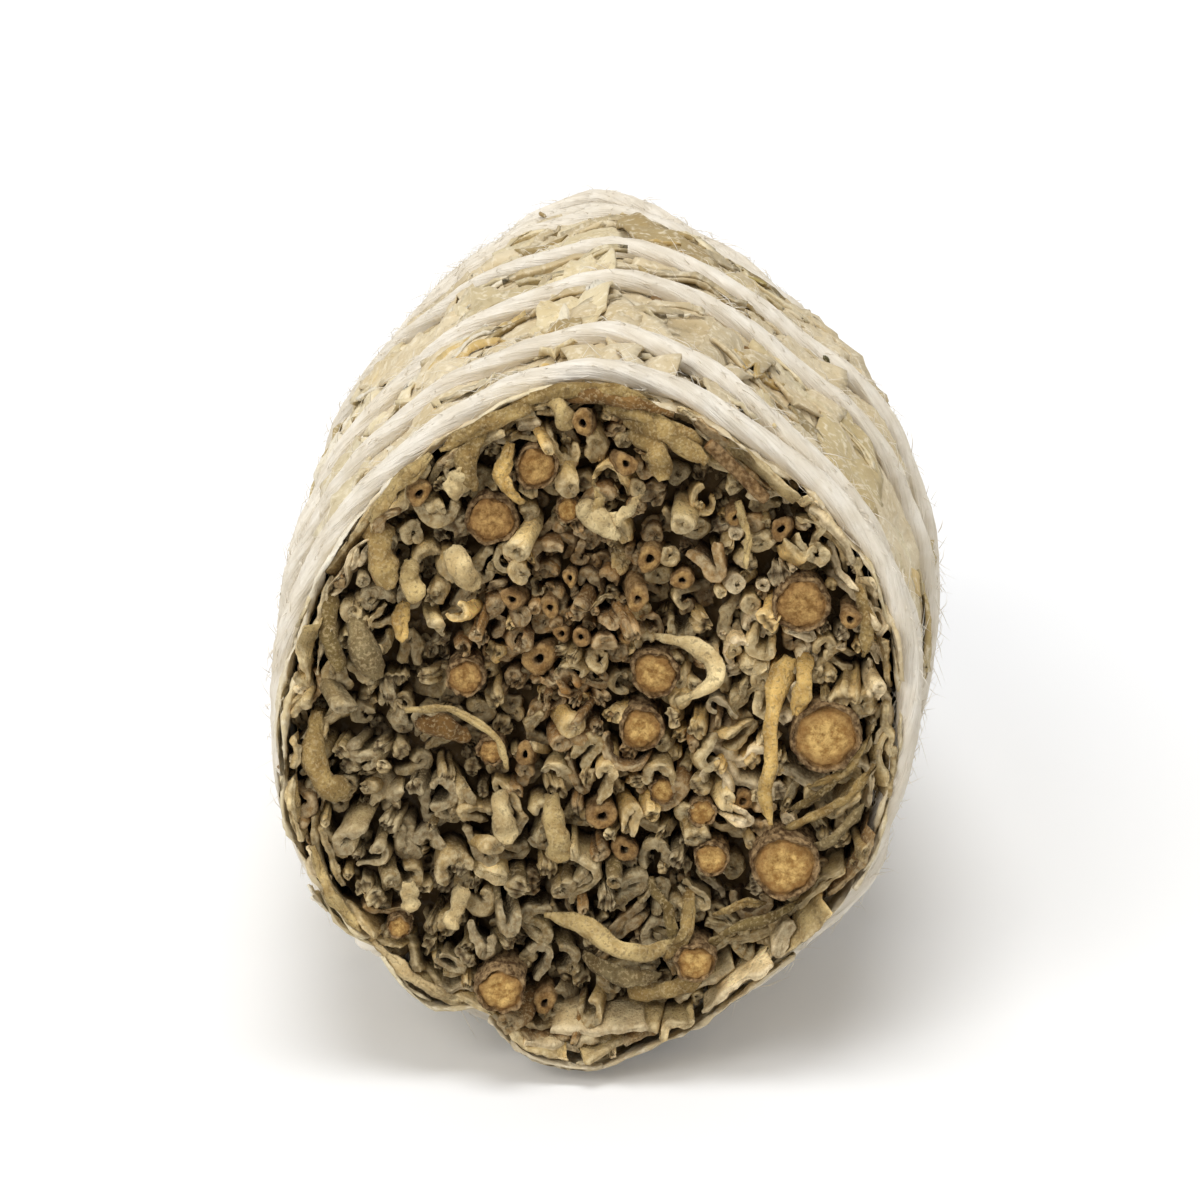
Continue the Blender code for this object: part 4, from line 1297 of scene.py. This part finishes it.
def model_hollow_stem():
    """Points and faces of one thin hollow stem of radius 1 and length 1, as modelled once."""
    pattern = rod("hollow_stem", HOLLOW_STEM_SIDES, 1.0, 1.0, (0, 0.5, 0))
    select_front(pattern)
    with editing():
        inset_front([(0.16, -0.018), (0.44, 0.0), (0.08, 0.03)])
        bpy.ops.mesh.extrude_region_move(TRANSFORM_OT_translate={"value": (0, 0.45, 0)})
        cut_across((0.03, 0.12, 0.4))
    shape = corners_of(pattern)
    faces = [list(face.vertices) for face in pattern.data.polygons]
    bpy.data.objects.remove(pattern)
    return shape, faces


def make_hollow_stems(finish):
    """The thin hollow side stems, copied from one and joined."""
    shape, pattern_faces = model_hollow_stem()
    draw = np.random.default_rng(5)
    around = np.arctan2(shape[:, 2], shape[:, 0])
    reach = np.hypot(shape[:, 0], shape[:, 2])
    points, faces, rust = [], [], []
    for k, (right, up, radius) in enumerate(HOLLOW_STEMS):
        oval = draw.uniform(0.72, 1.08)
        lean = draw.normal(0, 0.12, 2) + np.array([0, 0.10])
        stand = draw.uniform(-0.4, 1.2) * MM
        turn = draw.uniform(0, TURN)
        swirl = 1 + 0.14 * np.sin(2 * around + turn) + 0.10 * np.sin(3 * around - 2 * turn)
        x = shape[:, 0] * radius * MM * oval * swirl
        z = shape[:, 2] * radius * MM * swirl
        back = shape[:, 1] * HOLLOW_STEM_LENGTH
        points.append(np.stack([AXIS_X + right * MM + x - lean[0] * (back - stand), FACE_Y + back - stand,
                                AXIS_Z + up * MM + z - lean[1] * (back - stand)], axis=-1))
        faces += [[k * len(shape) + corner for corner in face] for face in pattern_faces]
        rust.append(np.full(len(shape), draw.uniform(0.35, 0.85)))
    # Inside each hole the darkest bark colour is used, as painted shade in the hole; the pith round it and
    # the outside get a share of bark.
    bark = np.where(reach < 0.36, 1.0, 0.25 + np.clip((reach - 0.8) / 0.15, 0, 1) * 0.45)
    marks = {"bark": np.tile(bark, len(points)), "rust": np.concatenate(rust)}
    piece = piece_from("hollow_stems", np.concatenate(points), faces, marks)
    round_off(piece)
    roughen(piece, (0.45, 0.30))
    finish_piece(piece, finish, ["packed_leaves"])


TWIG_SLIMNESS = 0.62          # its radius, as a share of half its solid's width
TWIG_INSET = 0.7              # of its ends from its solid's corners, in radii
TWIG_SLANT = 0.4 * MM
TWIG_BEND = 0.35 * MM
TWIG_SETTING = np.array([-0.1, -0.2, 0.5]) * MM       # how far it lies from its solid's middle
TWIG_BANDS = (-0.35, -0.1, 0.15, 0.4)                 # in lengths, from its middle


def make_twig(finish):
    """The reddish twig stub caught at the rim."""
    low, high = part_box("twig")
    radius = (high.y - low.y) / 2 * TWIG_SLIMNESS
    inset, y = radius * TWIG_INSET, (low.y + high.y) / 2
    start = Vector((low.x + inset, y, high.z - inset))
    end = Vector((high.x - inset, y + TWIG_SLANT, low.z + inset))
    length = (end - start).length
    twig = rod("twig_wood", TWIG_SIDES, radius, length, along_y=False)
    select_faces(twig, lambda face: abs(face.normal.z) > 0.9)
    with editing():
        for _ in range(2):
            bpy.ops.mesh.inset(thickness=radius * 0.3, use_individual=True)
        cut_across([cut * length for cut in TWIG_BANDS], "z")
    corners = corners_of(twig)
    reach = np.hypot(corners[:, 0], corners[:, 1]) / radius
    corners[:, 0] += TWIG_BEND * np.cos(math.pi * corners[:, 2] / length)
    turn = np.array((end - start).to_track_quat("Z", "Y").to_matrix())
    move_corners(twig, corners @ turn.T + np.array((start + end) / 2) + TWIG_SETTING)
    set_mark(twig, "bark", np.clip((reach - 0.75) / 0.2, 0, 0.75))
    set_mark(twig, "rust", np.ones(len(corners)))
    round_off(twig)
    roughen(twig, (0.6, 0.16))
    finish_piece(twig, finish, ["twig"])


# ---------------------------------------------------------------- the outside: leaves, shreds and chips


def leaf_sheet(rows, columns, angle, y, length, width, heading, outline, draw, style):
    """Points of one leaf laid on the bundle: a grid over its length and width.

    style gives: lift, fold (a raised midrib or a crease), curl (its edges stand up), crumple, tip_lift,
    and how ragged its first end is.
    """
    s = np.linspace(0, 1, rows)[:, None]
    v = np.linspace(-1, 1, columns)[None, :]
    half = width / 2 * outline(s) * (1 + 0.10 * np.sin(draw.uniform(5, 9) * s + draw.uniform(0, TURN)))
    wander = 0.22 * half.max() * np.sin(draw.uniform(1.5, 3.0) * s + draw.uniform(0, TURN)) * s * 0.6
    across = v * half + wander
    run = s * length + 0 * v
    torn = uneven(draw, 1, max(columns // 2, 3), columns, -1.0, 1.0)[0] + draw.uniform(-0.4, 0.4, columns)
    run = run + style.get("ragged", 0.0) * torn * (1 - smooth(run / (3 * MM)))
    place_y = y + run * math.cos(heading) - across * math.sin(heading)
    radius = surface(np.full_like(place_y, angle), place_y)
    place_angle = angle + (run * math.sin(heading) + across * math.cos(heading)) / radius
    near = twine_near(place_angle, place_y)
    ripple = 0
    for _ in range(4):
        step = draw.uniform(0.7, 1.9) * MM
        ripple = ripple + np.sin(run / step + draw.uniform(0, TURN) + draw.uniform(-1.2, 1.2) * across / step)
    out = style["lift"] * (1 - 0.8 * near) + PUFF * (1 - near)
    out = out + style["crumple"] * ripple * 0.25 * (1 - 0.75 * near)
    out = out + style["fold"] * np.exp(-(v / 0.22) ** 2) * (1 - 0.6 * near)
    out = out + style["curl"] * np.abs(v) ** 4 * (1 - 0.8 * near)
    out = out + style["tip_lift"] * s ** 4 * (1 - near)
    return on_bundle(place_angle, place_y, out)


def press_leaves(piece, finish, thickness, *patterns, rounded=False, replaced=()):
    """Give flat sheets the thickness and the roughness of dry leaves, and hand them over."""
    apply_modifier(piece, "SOLIDIFY", thickness=thickness * MM, offset=-1.0)
    if rounded:
        round_off(piece)
    roughen(piece, *patterns)
    clear_floor(piece, FLOOR_CLEARANCE)
    finish_piece(piece, finish, replaced)


def cut_outline(s):
    """Half width of a leaf cut off with the face."""
    return 1 - 0.88 * smooth((s - 0.25) / 0.75)


def tip_outline(s):
    """Half width of a leaf that ends in the tips."""
    return (0.12 + 0.88 * smooth(s / 0.5)) * (1 - 0.93 * smooth((s - 0.72) / 0.28)) + 0.02


def blade_outline(s):
    """Half width of a small whole leaf."""
    return 0.08 + 0.92 * np.sin(math.pi * s ** 0.8) ** 0.7


def torn_outline(s):
    """Half width of a torn bit of leaf."""
    return 0.45 + 0.55 * np.sin(math.pi * np.clip(s, 0.02, 0.98)) ** 0.5


WRAP_GRID, OUTER_GRID, SHRED_GRID = (60, 21), (26, 9), (11, 5)    # rows along a leaf, columns across it
WRAP_OVERLAP = 1.45           # how much wider the wrapping leaves are than their share of the girth
WRAP_RADIUS = 20 * MM         # a typical radius of the bundle
OUTER_COUNT, SHRED_COUNT, CHIP_COUNT = 40, 640, 300
SHRED_SHARE, BLADE_SHARE = 0.45, 0.35
OUTER_SPACING = 0.618         # of a turn, from each outer leaf to the next, which spreads them evenly

# Shares of the tints on the pale left side of the bundle, and on the rest of it. The left side
# starts where the cosine of the angle is less than the first number.
WRAP_TINTS = (-0.3, dict(tan=1, cream=5, bleached=2), dict(tan=5, cream=3))
SHRED_TINTS = (-0.35, dict(tan=4, cream=5, bleached=4, khaki=0.8, straw=0.4),
               dict(tan=8, cream=4, bleached=0.8, khaki=1.8, straw=1.0))
OUTER_TINTS = (-0.35, dict(tan=3, cream=5, bleached=2, pale=1, khaki=0.4),
               dict(tan=6, cream=3, pale=2, khaki=1.2))
CHIP_TINTS = dict(straw=4, khaki=4, olive=1, brown=2, pale=3)


def outer_tint(tints, angle, draw, spread):
    """The colour of one outer leaf, by the side of the bundle it is on."""
    edge, left, rest = tints
    return tint_of(left if math.cos(angle) < edge else rest, draw, spread)


def make_wrapping_leaves(finish):
    """The eighteen long leaves round the outside, each on its own."""
    for rank, outline in (("cut", cut_outline), ("tip", tip_outline)):
        for k in range(1, 10):
            name = f"{rank}_leaf_{k:02d}"
            draw = np.random.default_rng(100 * (rank == "tip") + k)
            x, y, z = corners_of(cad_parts[name]).T
            turns = np.arctan2(z - axis_z(y), x - axis_x(y))
            middle = math.atan2(np.sin(turns).mean(), np.cos(turns).mean())
            off = np.angle(np.exp(1j * (turns - middle)))
            width = 2 * np.abs(off).max() * WRAP_RADIUS * WRAP_OVERLAP
            start = FACE_Y + draw.uniform(-0.1, 0.7) * MM if rank == "cut" else y.min() - 6 * MM
            style = dict(lift=0.28 * MM * ((k % 3) - 1) - 0.22 * MM, crumple=0.50 * MM,
                         fold=draw.choice([-1, 1]) * draw.uniform(0.2, 0.55) * MM,
                         curl=draw.uniform(-0.3, 0.1) * MM,
                         tip_lift=draw.uniform(-3.0, 1.2) * MM if rank == "tip" else 0.0,
                         ragged=0.9 * MM if rank == "cut" else 0.0)
            sheet = leaf_sheet(*WRAP_GRID, middle, start, y.max() - start, width, 0.0, outline, draw, style)
            tint = outer_tint(WRAP_TINTS, middle, draw, 0.10)
            piece = sheets_piece(name + "_sheet", [sheet], [tint], *WRAP_GRID)
            press_leaves(piece, finish, 0.26, (1.6, 0.6), (0.6, 0.38), rounded=True, replaced=[name])


def make_overlaid_leaves(finish):
    """Crumpled small leaves and torn shreds pressed over the wrapping ones, in two pieces."""
    draw = np.random.default_rng(41)
    batches = {"upper": ([], []), "lower": ([], [])}
    for _ in range(SHRED_COUNT):
        angle = draw.uniform(0, TURN)
        y = draw.uniform(FACE_Y - 0.3 * MM, TIPS_Y - 12 * MM)
        if draw.uniform() < SHRED_SHARE:
            length, width = draw.uniform(2.5, 8.0) * MM, draw.uniform(0.3, 0.9) * MM
            heading = draw.choice([-1, 1]) * draw.normal(1.25, 0.25)
        else:
            length, width = draw.uniform(1.5, 5.5) * MM, draw.uniform(0.8, 2.8) * MM
            heading = draw.normal(0, 0.9)
        outline = blade_outline if draw.uniform() < BLADE_SHARE else torn_outline
        loose = (0.25 + 0.75 * max(math.sin(angle), 0) ** 2) * MM
        style = dict(lift=draw.uniform(0.0, 0.25) * loose, crumple=draw.uniform(0.3, 0.9) * loose,
                     fold=draw.uniform(-0.5, 0.6) * loose, curl=draw.uniform(-0.4, 0.45) * loose,
                     tip_lift=draw.uniform(-0.2, 0.35) * loose, ragged=0.7 * MM)
        sheets, tints = batches["upper" if math.sin(angle) > 0 else "lower"]
        sheets.append(leaf_sheet(*SHRED_GRID, angle, y, length, width, heading, outline, draw, style))
        tints.append(outer_tint(SHRED_TINTS, angle, draw, 0.16))
    for name, (sheets, tints) in batches.items():
        piece = sheets_piece(f"overlaid_leaves_{name}", sheets, tints, *SHRED_GRID)
        press_leaves(piece, finish, 0.18, (1.2, 0.42), (0.5, 0.26))


def make_outer_leaves(finish):
    """Whole dry leaves laid along the outside of the bundle, partly under the twine."""
    draw = np.random.default_rng(53)
    sheets, tints = [], []
    for k in range(OUTER_COUNT):
        angle = TURN * (OUTER_SPACING * k % 1.0) + draw.normal(0, 0.1)
        length, width = draw.uniform(13, 28) * MM, draw.uniform(3.5, 7.0) * MM
        y = draw.uniform(FACE_Y + 1 * MM, TIPS_Y - 15 * MM - length * 0.6)
        loose = (0.4 + 0.6 * math.sin(angle) ** 2) * MM
        style = dict(lift=draw.uniform(0.1, 0.4) * MM, crumple=draw.uniform(0.4, 0.9) * loose,
                     fold=draw.choice([-1, 1]) * draw.uniform(0.3, 0.7) * loose,
                     curl=draw.uniform(-0.3, 0.5) * loose, tip_lift=draw.uniform(-0.2, 0.5) * loose)
        sheets.append(leaf_sheet(*OUTER_GRID, angle, y, length, width, draw.normal(0, 0.32), blade_outline,
                                 draw, style))
        tints.append(outer_tint(OUTER_TINTS, angle, draw, 0.12))
    piece = sheets_piece("outer_leaves", sheets, tints, *OUTER_GRID)
    press_leaves(piece, finish, 0.22, (1.4, 0.5), (0.6, 0.26))


# The larger chips: angle round the bundle in degrees, millimetres behind the cut face, size in
# millimetres, and colour.
LARGE_CHIPS = [
    (78, 40, 1.1, (0.420, 0.280, 0.105)), (59, 60, 1.0, (0.370, 0.300, 0.110)),
    (49, 34, 1.0, (0.085, 0.080, 0.035)), (146, 58, 1.1, (0.370, 0.235, 0.085)),
    (178, 19, 0.6, (0.450, 0.400, 0.130)), (66, 52, 0.8, (0.240, 0.190, 0.085)),
]
CHIP_SIDES = 6


def make_chips(finish):
    """Crumbs and chips of leaf over the surface and the twine."""
    draw = np.random.default_rng(77)
    angle = draw.uniform(0, TURN, CHIP_COUNT)
    y = draw.uniform(FACE_Y, TIPS_Y - 6 * MM, CHIP_COUNT)
    near = twine_near(angle, y)
    out = PUFF * (1 - near) + near * 1.5 * MM + draw.uniform(-0.1, 0.25, CHIP_COUNT) * MM
    keep = (draw.uniform(0, 1, CHIP_COUNT) < 1 - 0.8 * near) & (np.sin(angle) > -0.85)
    places = on_bundle(angle, y, out)
    chips = [(place, around, None, None) for place, around in zip(places[keep], angle[keep])]
    for degrees, back, size, colour in LARGE_CHIPS:
        around = math.radians(degrees)
        chips.append((on_bundle(around, FACE_Y + back * MM, PUFF + 0.3 * MM), around, size * MM, colour))
    turn = np.linspace(0, TURN, CHIP_SIDES, endpoint=False)[:, None]
    points, faces, tints = [], [], []
    for k, (middle, around, size, colour) in enumerate(chips):
        size = size or draw.uniform(0.2, 0.7) * MM
        normal = unit(outward(around) + draw.normal(0, 0.35, 3))
        first = unit(np.cross(normal, draw.normal(0, 1, 3)))
        second = np.cross(normal, first)
        rim = middle + size * draw.uniform(0.6, 1.1, (CHIP_SIDES, 1)) * (np.cos(turn) * first * 1.5
                                                                       + np.sin(turn) * second * 0.8)
        thick = draw.uniform(0.12, 0.3) * MM
        points += [rim + normal * thick, rim - normal * thick]
        top = [2 * CHIP_SIDES * k + j for j in range(CHIP_SIDES)]
        under = [j + CHIP_SIDES for j in top]
        faces += [top, under[::-1]]
        faces += [[top[j], under[j], under[(j + 1) % CHIP_SIDES], top[(j + 1) % CHIP_SIDES]]
                  for j in range(CHIP_SIDES)]
        tints += [[*(colour or tint_of(CHIP_TINTS, draw)), 1.0]] * (2 * CHIP_SIDES)
    piece = piece_from("leaf_chips", points, faces, {"tint": tints, "hollow": np.zeros(len(tints))})
    round_off(piece)
    roughen(piece, (0.6, 0.3))
    clear_floor(piece, FLOOR_CLEARANCE)
    finish_piece(piece, finish)


# ---------------------------------------------------------------- the leaf tips


def tip_taper(depth):
    """How slim the tips are at a depth behind their ends."""
    return 0.35 + 0.65 * min(depth / (2.6 * MM), 1.0) ** 0.6


def make_tip_tuft(finish):
    """The small leaf tips that fill the far end, bunched like a blunt brush."""
    draw = np.random.default_rng(61)
    end_y = PACK_END_Y - 1.0 * MM
    plan = LeafPlan(end_y - 2 * MM, 1.0 * MM)
    add_rim_layers(plan, draw, dict(khaki=2, pale=3, cream=2))
    for stage in TIP_STAGES:
        fill_plan(plan, draw, stage, 0.05 * MM, lambda *place: "tips", lambda *place: 0.0)
        settle(plan, TIP_GAP, 30)
    points, faces, marks = swept_leaves(plan, draw, end_y, -1.0, droop=0.0, taper=tip_taper)
    marks["cut"][:] = 0
    piece = piece_from("tip_tuft", points, faces, marks)
    roughen(piece, (1.1, 0.25))
    finish_piece(piece, finish, ["packed_leaves"])


# ---------------------------------------------------------------- twine

RETURN_TURN = 4.9             # from here on the twine runs back over its own earlier turns
CROSSING_REACH = 2.6 * MM
CROSSING_SPREAD = 0.016       # of a turn
CROSSING_RISE = 1.1 * MM
TWINE_POINTS = 2100
TWINE_SIDES = 24
TWINE_LIFT = 0.75 * MM        # of its middle line, from the leaves' surface
TWINE_LOW = 0.55 * MM         # height of its middle line where it is pressed flat
TWINE_BITE = 0.7 * MM         # how much deeper it lies under the bundle, near the cut face
TWINE_WOBBLE = 0.22 * MM
TWIST_LENGTH = 9.0 * MM       # of one turn of its three plies
KNOT_GAP = 1.2 * MM / (TURN * 19 * MM)    # of a turn, from the twine's ends to the knot's middle


def twine_lift(turn):
    """How far the twine rises to pass over its own earlier turns, at evenly spaced numbers of turns."""
    here = twine_along(turn)
    rise = np.zeros(len(turn))
    for back in range(1, WHOLE_TURNS):
        earlier = turn - back
        apart = np.abs(here - twine_along(earlier))
        raised = CROSSING_RISE * smooth(2 * (1 - apart / CROSSING_REACH))
        rise = np.where((earlier > ROUTE_START) & (turn > RETURN_TURN), np.maximum(rise, raised), rise)
    reach = int(CROSSING_SPREAD / (turn[1] - turn[0]))
    drawn_out = np.max([np.roll(rise, k) for k in range(-reach, reach + 1)], axis=0)
    return moving_mean(drawn_out, 2 * reach + 1)


def twine_route():
    """Points down the middle of the twine, and the way out from the bundle at each."""
    turns = np.linspace(ROUTE_START + KNOT_GAP, ROUTE_END - KNOT_GAP, TWINE_POINTS)
    angle = TURN * (0.25 - turns)
    y = FACE_Y + twine_along(turns)
    bite = TWINE_BITE * smooth((-np.sin(angle) + 0.10) / 0.5) * smooth((FACE_Y + 30 * MM - y) / (10 * MM))
    radius = surface(angle, y) + TWINE_LIFT + twine_lift(turns) - bite
    out = outward(angle)
    points = np.stack([axis_x(y), y, axis_z(y)], axis=-1) + out * radius[:, None]
    points[:, 2] = np.maximum(points[:, 2], TWINE_LOW)
    draw = np.random.default_rng(3)
    for width in (13, 35):
        wobble = moving_mean(draw.normal(0, 1, TWINE_POINTS + width * 4), width)
        points[:, 1] += wobble[:TWINE_POINTS] * TWINE_WOBBLE
    return points, out


def make_twine(finish):
    """The soft cotton twine, three plies laid together, pressed flat where it lies on the floor."""
    points, out = twine_route()
    ahead = unit(np.gradient(points, axis=0))
    out = unit(out - ahead * (out * ahead).sum(axis=1, keepdims=True))
    side = np.cross(ahead, out)
    travelled = np.concatenate([[0], np.cumsum(np.linalg.norm(np.diff(points, axis=0), axis=1))])
    around = np.linspace(0, TURN, TWINE_SIDES, endpoint=False)
    laid = around - (TURN * travelled / TWIST_LENGTH)[:, None] / 3
    ply = np.cos(3 * laid)
    draw = np.random.default_rng(8)
    swell = moving_mean(draw.normal(0, 1, TWINE_POINTS), 21)[:, None] * 0.14
    strands = 0
    for k in range(4, 11):
        drift = np.cumsum(draw.normal(0, 0.22, TWINE_POINTS))[:, None]
        strands = strands + np.cos(k * laid + drift)
    radius = TWINE_RADIUS * (1.0 + 0.03 * ply + swell + 0.020 * strands)
    rings = points[:, None] + radius[..., None] * (np.cos(around)[:, None] * out[:, None] * 0.86
                                                   + np.sin(around)[:, None] * side[:, None] * 1.10)
    rings[..., 2] = np.maximum(rings[..., 2], 0.0)
    lay = np.stack([travelled[:, None] + 0 * laid, TWINE_RADIUS * np.cos(laid), TWINE_RADIUS * np.sin(laid)],
                   axis=-1)
    # How deep in the grooves between the plies each point lies, for their painted shade.
    groove_shade = np.clip(0.45 - 0.25 * ply - 0.16 * strands, 0, 1)
    piece = piece_from("cotton_twine", rings, hose_faces(TWINE_POINTS, TWINE_SIDES),
                       {"groove_shade": groove_shade.ravel(), "lay": lay.reshape(-1, 3)})
    roughen(piece, (0.9, 0.16))
    clear_floor(piece, 0.0)
    finish_piece(piece, finish, ["twine"])
    return points, ahead, out, side


FIBRE_COUNT = 9000
FIBRE_FACES = [(0, 2, 1), (0, 1, 4, 3), (1, 2, 5, 4), (2, 0, 3, 5), (3, 4, 6), (4, 5, 6), (5, 3, 6)]


def make_fuzz(finish, route):
    """Loose cotton fibres that stand off the twine, each a thin three-sided wisp."""
    draw = np.random.default_rng(9)
    count = FIBRE_COUNT
    place = draw.integers(5, TWINE_POINTS - 5, count)
    points, ahead, out, side = (values[place] for values in route)
    turn = draw.uniform(0, TURN, count)[:, None]
    away = np.cos(turn) * out + np.sin(turn) * side
    along = ahead * np.where(draw.uniform(0, 1, count) < 0.5, 1, -1)[:, None]
    length = draw.uniform(0.4, 1.8, count)[:, None] * MM
    lean = draw.uniform(0.5, 1.6, count)[:, None]
    root = points + away * TWINE_RADIUS * 0.93
    bow = draw.normal(0, 0.35, (count, 3))
    middle = root + (away * 0.42 + along * lean * 0.5 + bow * 0.25) * length * 0.5
    end = root + (away * 0.55 + along * lean + bow) * length * 0.7
    thick = draw.uniform(0.018, 0.040, count)[:, None] * MM
    normal = np.cross(along, away)
    corners = [centre + (math.cos(t) * away + math.sin(t) * normal) * thick * wide
               for centre, wide in ((root, 1.0), (middle, 0.8)) for t in (0, TURN / 3, TURN * 2 / 3)]
    fibres = np.stack([*corners, end], axis=1)
    fibres[..., 2] = np.maximum(fibres[..., 2], 0.02 * MM)
    faces = [tuple(7 * k + corner for corner in face) for k in range(count) for face in FIBRE_FACES]
    piece = piece_from("cotton_fuzz", fibres, faces, {"groove_shade": np.zeros(7 * count)})
    finish_piece(piece, finish)


KNOT_SIZE = 1.15 * MM
KNOT_SIDES = 12
KNOT_RADIUS, TAIL_RADIUS = 0.62 * MM, 0.72 * MM
KNOT_TAILS = ((1, 5.5), (-1, 4.2))    # which way each one turns, and how far it reaches


def make_knot(finish):
    """The tied knot: a tight overhand lump with two short frayed ends."""
    low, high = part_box("knot")
    middle = np.array((low + high) / 2)
    angle = math.atan2(middle[2] - AXIS_Z, middle[0] - AXIS_X)
    middle = on_bundle(angle, FACE_Y + KNOT_PLACE * MM, KNOT_SIZE)
    out = outward(angle)
    side = np.array([0, 1.0, 0])
    round_way = np.cross(side, out)
    t = np.linspace(0, TURN, 90)[:, None]
    across = (np.sin(t) + 1.6 * np.sin(2 * t)) * round_way + (np.cos(t) - 1.6 * np.cos(2 * t)) * side
    loop = middle + across * KNOT_SIZE * 0.42 - np.sin(3 * t) * 0.8 * out * KNOT_SIZE * 0.35
    strands = [(loop, KNOT_RADIUS)]
    s = np.linspace(0, 1, 24)[:, None]
    frayed = (TAIL_RADIUS * (1 + 0.25 * np.sin(9 * s) * s))[:, None]
    for sign, reach in KNOT_TAILS:
        tail = middle + side * (0.6 + s * reach) * MM * 0.9 + round_way * sign * (0.5 + 1.3 * s ** 1.5) * MM
        strands.append((tail + out * (0.25 - 0.5 * s) * MM, frayed))
    around = np.linspace(0, TURN, KNOT_SIDES, endpoint=False)[:, None]
    points, faces = [], []
    for line, thick in strands:
        ahead = unit(np.gradient(line, axis=0))
        first = unit(np.cross(ahead, out))
        second = np.cross(ahead, first)
        rings = line[:, None] + thick * (np.cos(around) * first[:, None] + np.sin(around) * second[:, None])
        faces += hose_faces(len(line), KNOT_SIDES, len(points))
        points += rings.reshape(-1, 3).tolist()
    piece = piece_from("twine_knot", points, faces, {"groove_shade": np.zeros(len(points))})
    roughen(piece, (0.5, 0.2))
    finish_piece(piece, finish, ["knot"])


# ---------------------------------------------------------------- floor, light and camera


def make_floor():
    """A plain pale floor that keeps the bundle's shadow."""
    bpy.ops.object.select_all(action="DESELECT")
    bpy.ops.mesh.primitive_plane_add(size=6.0, location=(0, 0, 0))
    floor = bpy.context.object
    floor.name = "floor"
    f = Finish("floor_white")
    f.feed(f.shader.inputs["Base Color"], (0.80, 0.80, 0.80))
    f.feed(f.shader.inputs["Roughness"], 0.9)
    f.feed(f.shader.inputs["Specular IOR Level"], 0.1)
    glow = f.node("ShaderNodeEmission")
    f.feed(glow.inputs["Color"], (1.0, 1.0, 1.0))
    rays = f.node("ShaderNodeLightPath")
    f.feed(glow.inputs["Strength"], f.maths("MULTIPLY", rays.outputs["Is Camera Ray"], 0.10))
    both = f.node("ShaderNodeAddShader")
    f.feed(both.inputs[0], f.shader.outputs["BSDF"])
    f.feed(both.inputs[1], glow.outputs["Emission"])
    f.feed(f.tree.nodes["Material Output"].inputs["Surface"], both.outputs["Shader"])
    floor.data.materials.append(f.material)


# The lamps: name, strength, spread in degrees, and how each is tilted, in degrees.
LAMPS = [("overhead", 1.75, 32, (14, -8)), ("window", 1.15, 26, (58, -30))]
ROOM_STRENGTH = 0.52


def make_light():
    """Soft studio light: an even pale room, a broad lamp above and a weaker one from the left."""
    world = bpy.data.worlds.new("studio")
    bpy.context.scene.world = world
    world.use_nodes = True
    room = world.node_tree.nodes["Background"].inputs
    room["Color"].default_value = (1, 1, 1, 1)
    room["Strength"].default_value = ROOM_STRENGTH
    for name, strength, spread, (tip, swing) in LAMPS:
        lamp = bpy.data.lights.new(name, "SUN")
        lamp.energy = strength
        lamp.angle = math.radians(spread)
        placed = bpy.data.objects.new(name, lamp)
        placed.rotation_euler = (math.radians(tip), 0, math.radians(swing))
        bpy.context.scene.collection.objects.link(placed)


CAMERA_FROM_FACE = 270 * MM
CAMERA_PITCH = math.radians(18.6)
CAMERA_YAW = math.radians(1.3)
CAMERA_DOWN, CAMERA_LEFT = 14.5 * MM, 1.2 * MM
CAMERA_AIM_UP, CAMERA_AIM_RIGHT = 0.080, 0.006
CAMERA_LENS = 133


def make_camera():
    """A camera a little above the cut face, looking along the bundle."""
    pitch, yaw = CAMERA_PITCH, CAMERA_YAW
    ahead = Vector((-math.sin(yaw) * math.cos(pitch), math.cos(yaw) * math.cos(pitch), -math.sin(pitch)))
    right = Vector((math.cos(yaw), math.sin(yaw), 0))
    up = right.cross(ahead)
    face = Vector((AXIS_X, FACE_Y, AXIS_Z))
    aim = ahead + up * CAMERA_AIM_UP + right * CAMERA_AIM_RIGHT
    camera = bpy.data.objects.new("camera", bpy.data.cameras.new("camera"))
    camera.data.lens = CAMERA_LENS
    camera.data.clip_start = 0.01
    camera.location = face - ahead * CAMERA_FROM_FACE - up * CAMERA_DOWN - right * CAMERA_LEFT
    camera.rotation_euler = aim.to_track_quat("-Z", "Y").to_euler()
    bpy.context.scene.collection.objects.link(camera)
    bpy.context.scene.camera = camera


# ---------------------------------------------------------------- the whole stick

bpy.context.scene.view_settings.view_transform = "Standard"
make_camera()
make_floor()
make_light()

curled_sage = curled_leaf_finish()
tip_sage = tip_leaf_finish()
pressed_sage = pressed_leaf_finish()
wood = wood_finish()
cotton = cotton_finish()

make_curled_leaves(curled_sage)
make_bent_leaves(curled_sage)
make_core(pressed_sage)
make_stems(wood)
make_hollow_stems(wood)
make_twig(wood)
make_wrapping_leaves(pressed_sage)
make_overlaid_leaves(pressed_sage)
make_outer_leaves(pressed_sage)
make_chips(pressed_sage)
make_tip_tuft(tip_sage)
twine = make_twine(cotton)
make_fuzz(cotton, twine)
make_knot(cotton)
